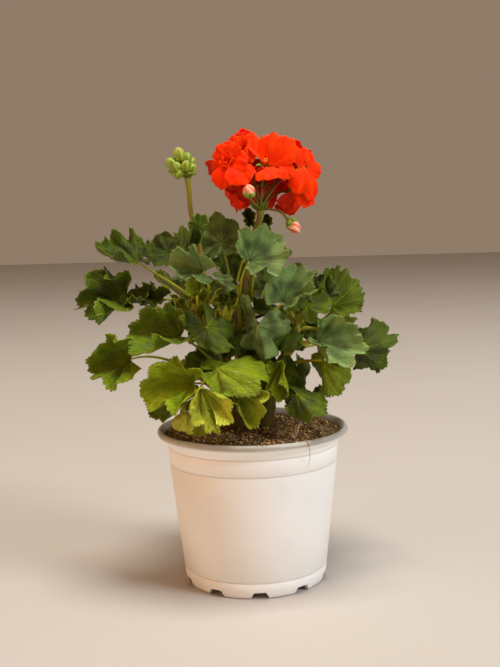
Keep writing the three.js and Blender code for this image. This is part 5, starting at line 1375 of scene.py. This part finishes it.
def plastic_material():
    """White moulded plastic, slightly yellowed, with scuffs, a greyer top to the lip, painted light on the
    collar, and painted shade in the grooves and inside the lip.
    """
    s = Shader("pot_plastic")
    place = s.place()
    x, y, height = s.split(place)
    cloud = s.noise(place, 22.0, 5.0)
    fine = s.noise(place, 1400.0, 2.0)
    scuff = s.noise(s.vector("MULTIPLY", place, (1.0, 1.0, 9.0)), 90.0, 5.0, 0.7)
    colour = s.mix(s.step(cloud, 0.3, 0.7), (0.87, 0.86, 0.83), (0.91, 0.90, 0.88))
    colour = s.mix(s.step(scuff, 0.62, 0.78, 0.0, 0.10), colour, (0.62, 0.58, 0.52))
    # Painted light: brighter white on the collar just under the lip.
    painted_collar_light = s.step(height, COLLAR_LIGHT_START, COLLAR_LIGHT_END, 0.0, 0.8)
    colour = s.mix(painted_collar_light, colour, (0.95, 0.945, 0.915))
    # The top of the lip turns grey in patches.
    grey_lip = s.step(height, GREY_LIP_START, GREY_LIP_END) * s.step(cloud, 0.3, 0.62, 0.66, 0.92)
    colour = s.mix(grey_lip, colour, (0.31, 0.275, 0.22))
    # Painted shade: the inner wall above the peat, under the lip, is darkened to a dark brown.
    within = s.math("LESS_THAN", s.math("SQRT", x * x + y * y), LIP_SLOPE * height + LIP_START)
    inside = s.step(height, RIM_SHADE_START, RIM_SHADE_END) * within
    inside = inside * s.math("GREATER_THAN", height, RIM_SHADE_FOOT)
    # Painted shade: a dark line along each groove.
    for level in GROOVE_LEVELS:
        groove = s.step(abs(height - level), 0.0002, 0.0007, 0.42, 0.0)
        colour = s.mix(groove, colour, (0.42, 0.34, 0.27))
    colour = s.mix(0.75 * inside, colour, (0.10, 0.07, 0.05))
    foot = s.step(height, 0.012, 0.0) * s.step(scuff, 0.45, 0.7, 0.0, 0.22)
    colour = s.mix(foot, colour, (0.5, 0.43, 0.36))
    s.bump(0.25 * fine + scuff, 0.00008, 0.5)
    return s.finish(colour, s.step(cloud, 0.3, 0.7, 0.36, 0.46), (0.12, (1.0, 0.9, 0.75), 0.002))


def peat_material(name, dark, light, scale=700.0):
    s = Shader(name)
    tone, _, _ = s.split(s.attribute("look"))
    cloud = s.noise(s.place(), 160.0, 5.0, 0.65)
    grit = s.cells(s.place(), scale, "F1")
    share = s.math("ADD", 0.7 * cloud, 0.45 * tone, clamp=True)
    colour = s.mix(s.step(share, 0.25, 0.95), dark, light)
    colour = s.mix(s.step(grit, 0.15, 0.6, 0.5, 0.0), colour, dark)
    s.bump(grit + cloud, 0.0008, 0.8)
    return s.finish(colour, 0.9, Specular_IOR_Level=0.25)


# ======== build ========
leaf_skin = leaf_material()
stalk_skin = skin_material("leaf_stalk", (0.32, 0.29, 0.012), (0.45, 0.50, 0.015),
                           (0.30, 0.13, 0.015))
# The stem's dark foot is woody brown, darkened further as painted shade under the foliage.
stem_skin = skin_material("stem", (0.085, 0.048, 0.012), (0.36, 0.36, 0.012),
                          (0.20, 0.060, 0.012), 0.0005)
dry_skin = dry_material()
for stem_name in STEMS:
    shoot(stem_name, [leaf_skin, stalk_skin, stem_skin, dry_skin])

sepal_skin = bud_material()
head_skin = skin_material("head_stalk", (0.17, 0.12, 0.012), (0.20, 0.17, 0.018),
                          (0.25, 0.040, 0.012))
bud_skin = skin_material("bud_stalk", (0.20, 0.14, 0.012), (0.30, 0.26, 0.01),
                         (0.28, 0.14, 0.015))
bloom_stalk([head_skin, leaf_skin, sepal_skin])
bud_cluster([bud_skin, leaf_skin, sepal_skin])
coral_skin = coral_material()
for coral_row in CORAL_BUDS:
    coral_bud(coral_row, coral_skin)

head = Piece()
for flower_row in FLORETS:
    flower(head, flower_row)
for petal_row in SINGLE_PETALS:
    single_petal(head, *petal_row, RNG.random())
crowded_petals(head)
head.make("head_petals", [petal_material()], "petal", "bloom_petals")
threads = Piece()
stamens(threads)
threads.make("head_stamens", [stamen_material()], "petal")

pot(plastic_material())
peat(peat_material("peat", (0.095, 0.047, 0.014), (0.50, 0.255, 0.072)))
litter([peat_material("peat_crumb", (0.10, 0.05, 0.015), (0.78, 0.45, 0.15)),
        peat_material("perlite", (0.45, 0.42, 0.36), (0.85, 0.83, 0.78), 1500.0),
        peat_material("plant_fibre", (0.12, 0.06, 0.02), (0.80, 0.56, 0.30), 1500.0)])


# ======== camera, light and floor: in metres ========
CAMERA_PLACE = (0, -0.652, 0.243)
CAMERA_PITCH = math.radians(6.52)
CAMERA_ROLL = math.radians(-1.5)
FOCAL_PIXELS = 967.5
PICTURE_HEIGHT = 667
SENSOR = 36
LAMP_AIM = Vector((0, 0, 0.17))
FLOOR_REACH = 6


def camera():
    data = bpy.data.cameras.new("camera")
    data.sensor_width = SENSOR
    data.lens = FOCAL_PIXELS / PICTURE_HEIGHT * SENSOR
    data.clip_start = 0.01
    made = bpy.data.objects.new("camera", data)
    made.matrix_world = (Matrix.Translation(CAMERA_PLACE)
                         @ Matrix.Rotation(math.pi / 2 - CAMERA_PITCH, 4, "X")
                         @ Matrix.Rotation(CAMERA_ROLL, 4, "Z"))
    bpy.context.scene.collection.objects.link(made)
    bpy.context.scene.camera = made


def lamp(name, place, power, size, colour):
    data = bpy.data.lights.new(name, "AREA")
    data.energy = power
    data.size = size
    data.color = colour
    made = bpy.data.objects.new(name, data)
    made.location = place
    made.rotation_euler = (LAMP_AIM - Vector(place)).to_track_quat("-Z", "Y").to_euler()
    bpy.context.scene.collection.objects.link(made)


def floor():
    s = Shader("studio_floor")
    cloud = s.noise(s.place(), 3.0, 3.0)
    material = s.finish(s.mix(cloud, (0.50, 0.46, 0.425), (0.54, 0.50, 0.465)), 0.75)
    mesh = bpy.data.meshes.new("studio_floor")
    corners = [(x * FLOOR_REACH, y * FLOOR_REACH, 0)
               for x, y in ((-1, -1), (1, -1), (1, 1), (-1, 1))]
    mesh.from_pydata(corners, [], [(0, 1, 2, 3)])
    mesh.materials.append(material)
    made = bpy.data.objects.new("studio_floor", mesh)
    bpy.context.scene.collection.objects.link(made)


def sky():
    world = bpy.data.worlds.new("studio")
    world.use_nodes = True
    back = world.node_tree.nodes["Background"]
    back.inputs["Color"].default_value = (0.86, 0.63, 0.44, 1)
    back.inputs["Strength"].default_value = 0.32
    bpy.context.scene.world = world


camera()
# Plain display of the light, so that the scarlet keeps its strength.
bpy.context.scene.view_settings.view_transform = "Standard"
lamp("key", (2.3, -1.36, 1.76), 58, 0.9, (0.86, 0.93, 1.0))
lamp("fill", (-3.64, -1.82, 1.26), 67, 3.1, (1.0, 0.47, 0.17))
lamp("top", (0.1, -0.35, 3.0), 76, 1.1, (1.0, 0.98, 0.90))
floor()
sky()
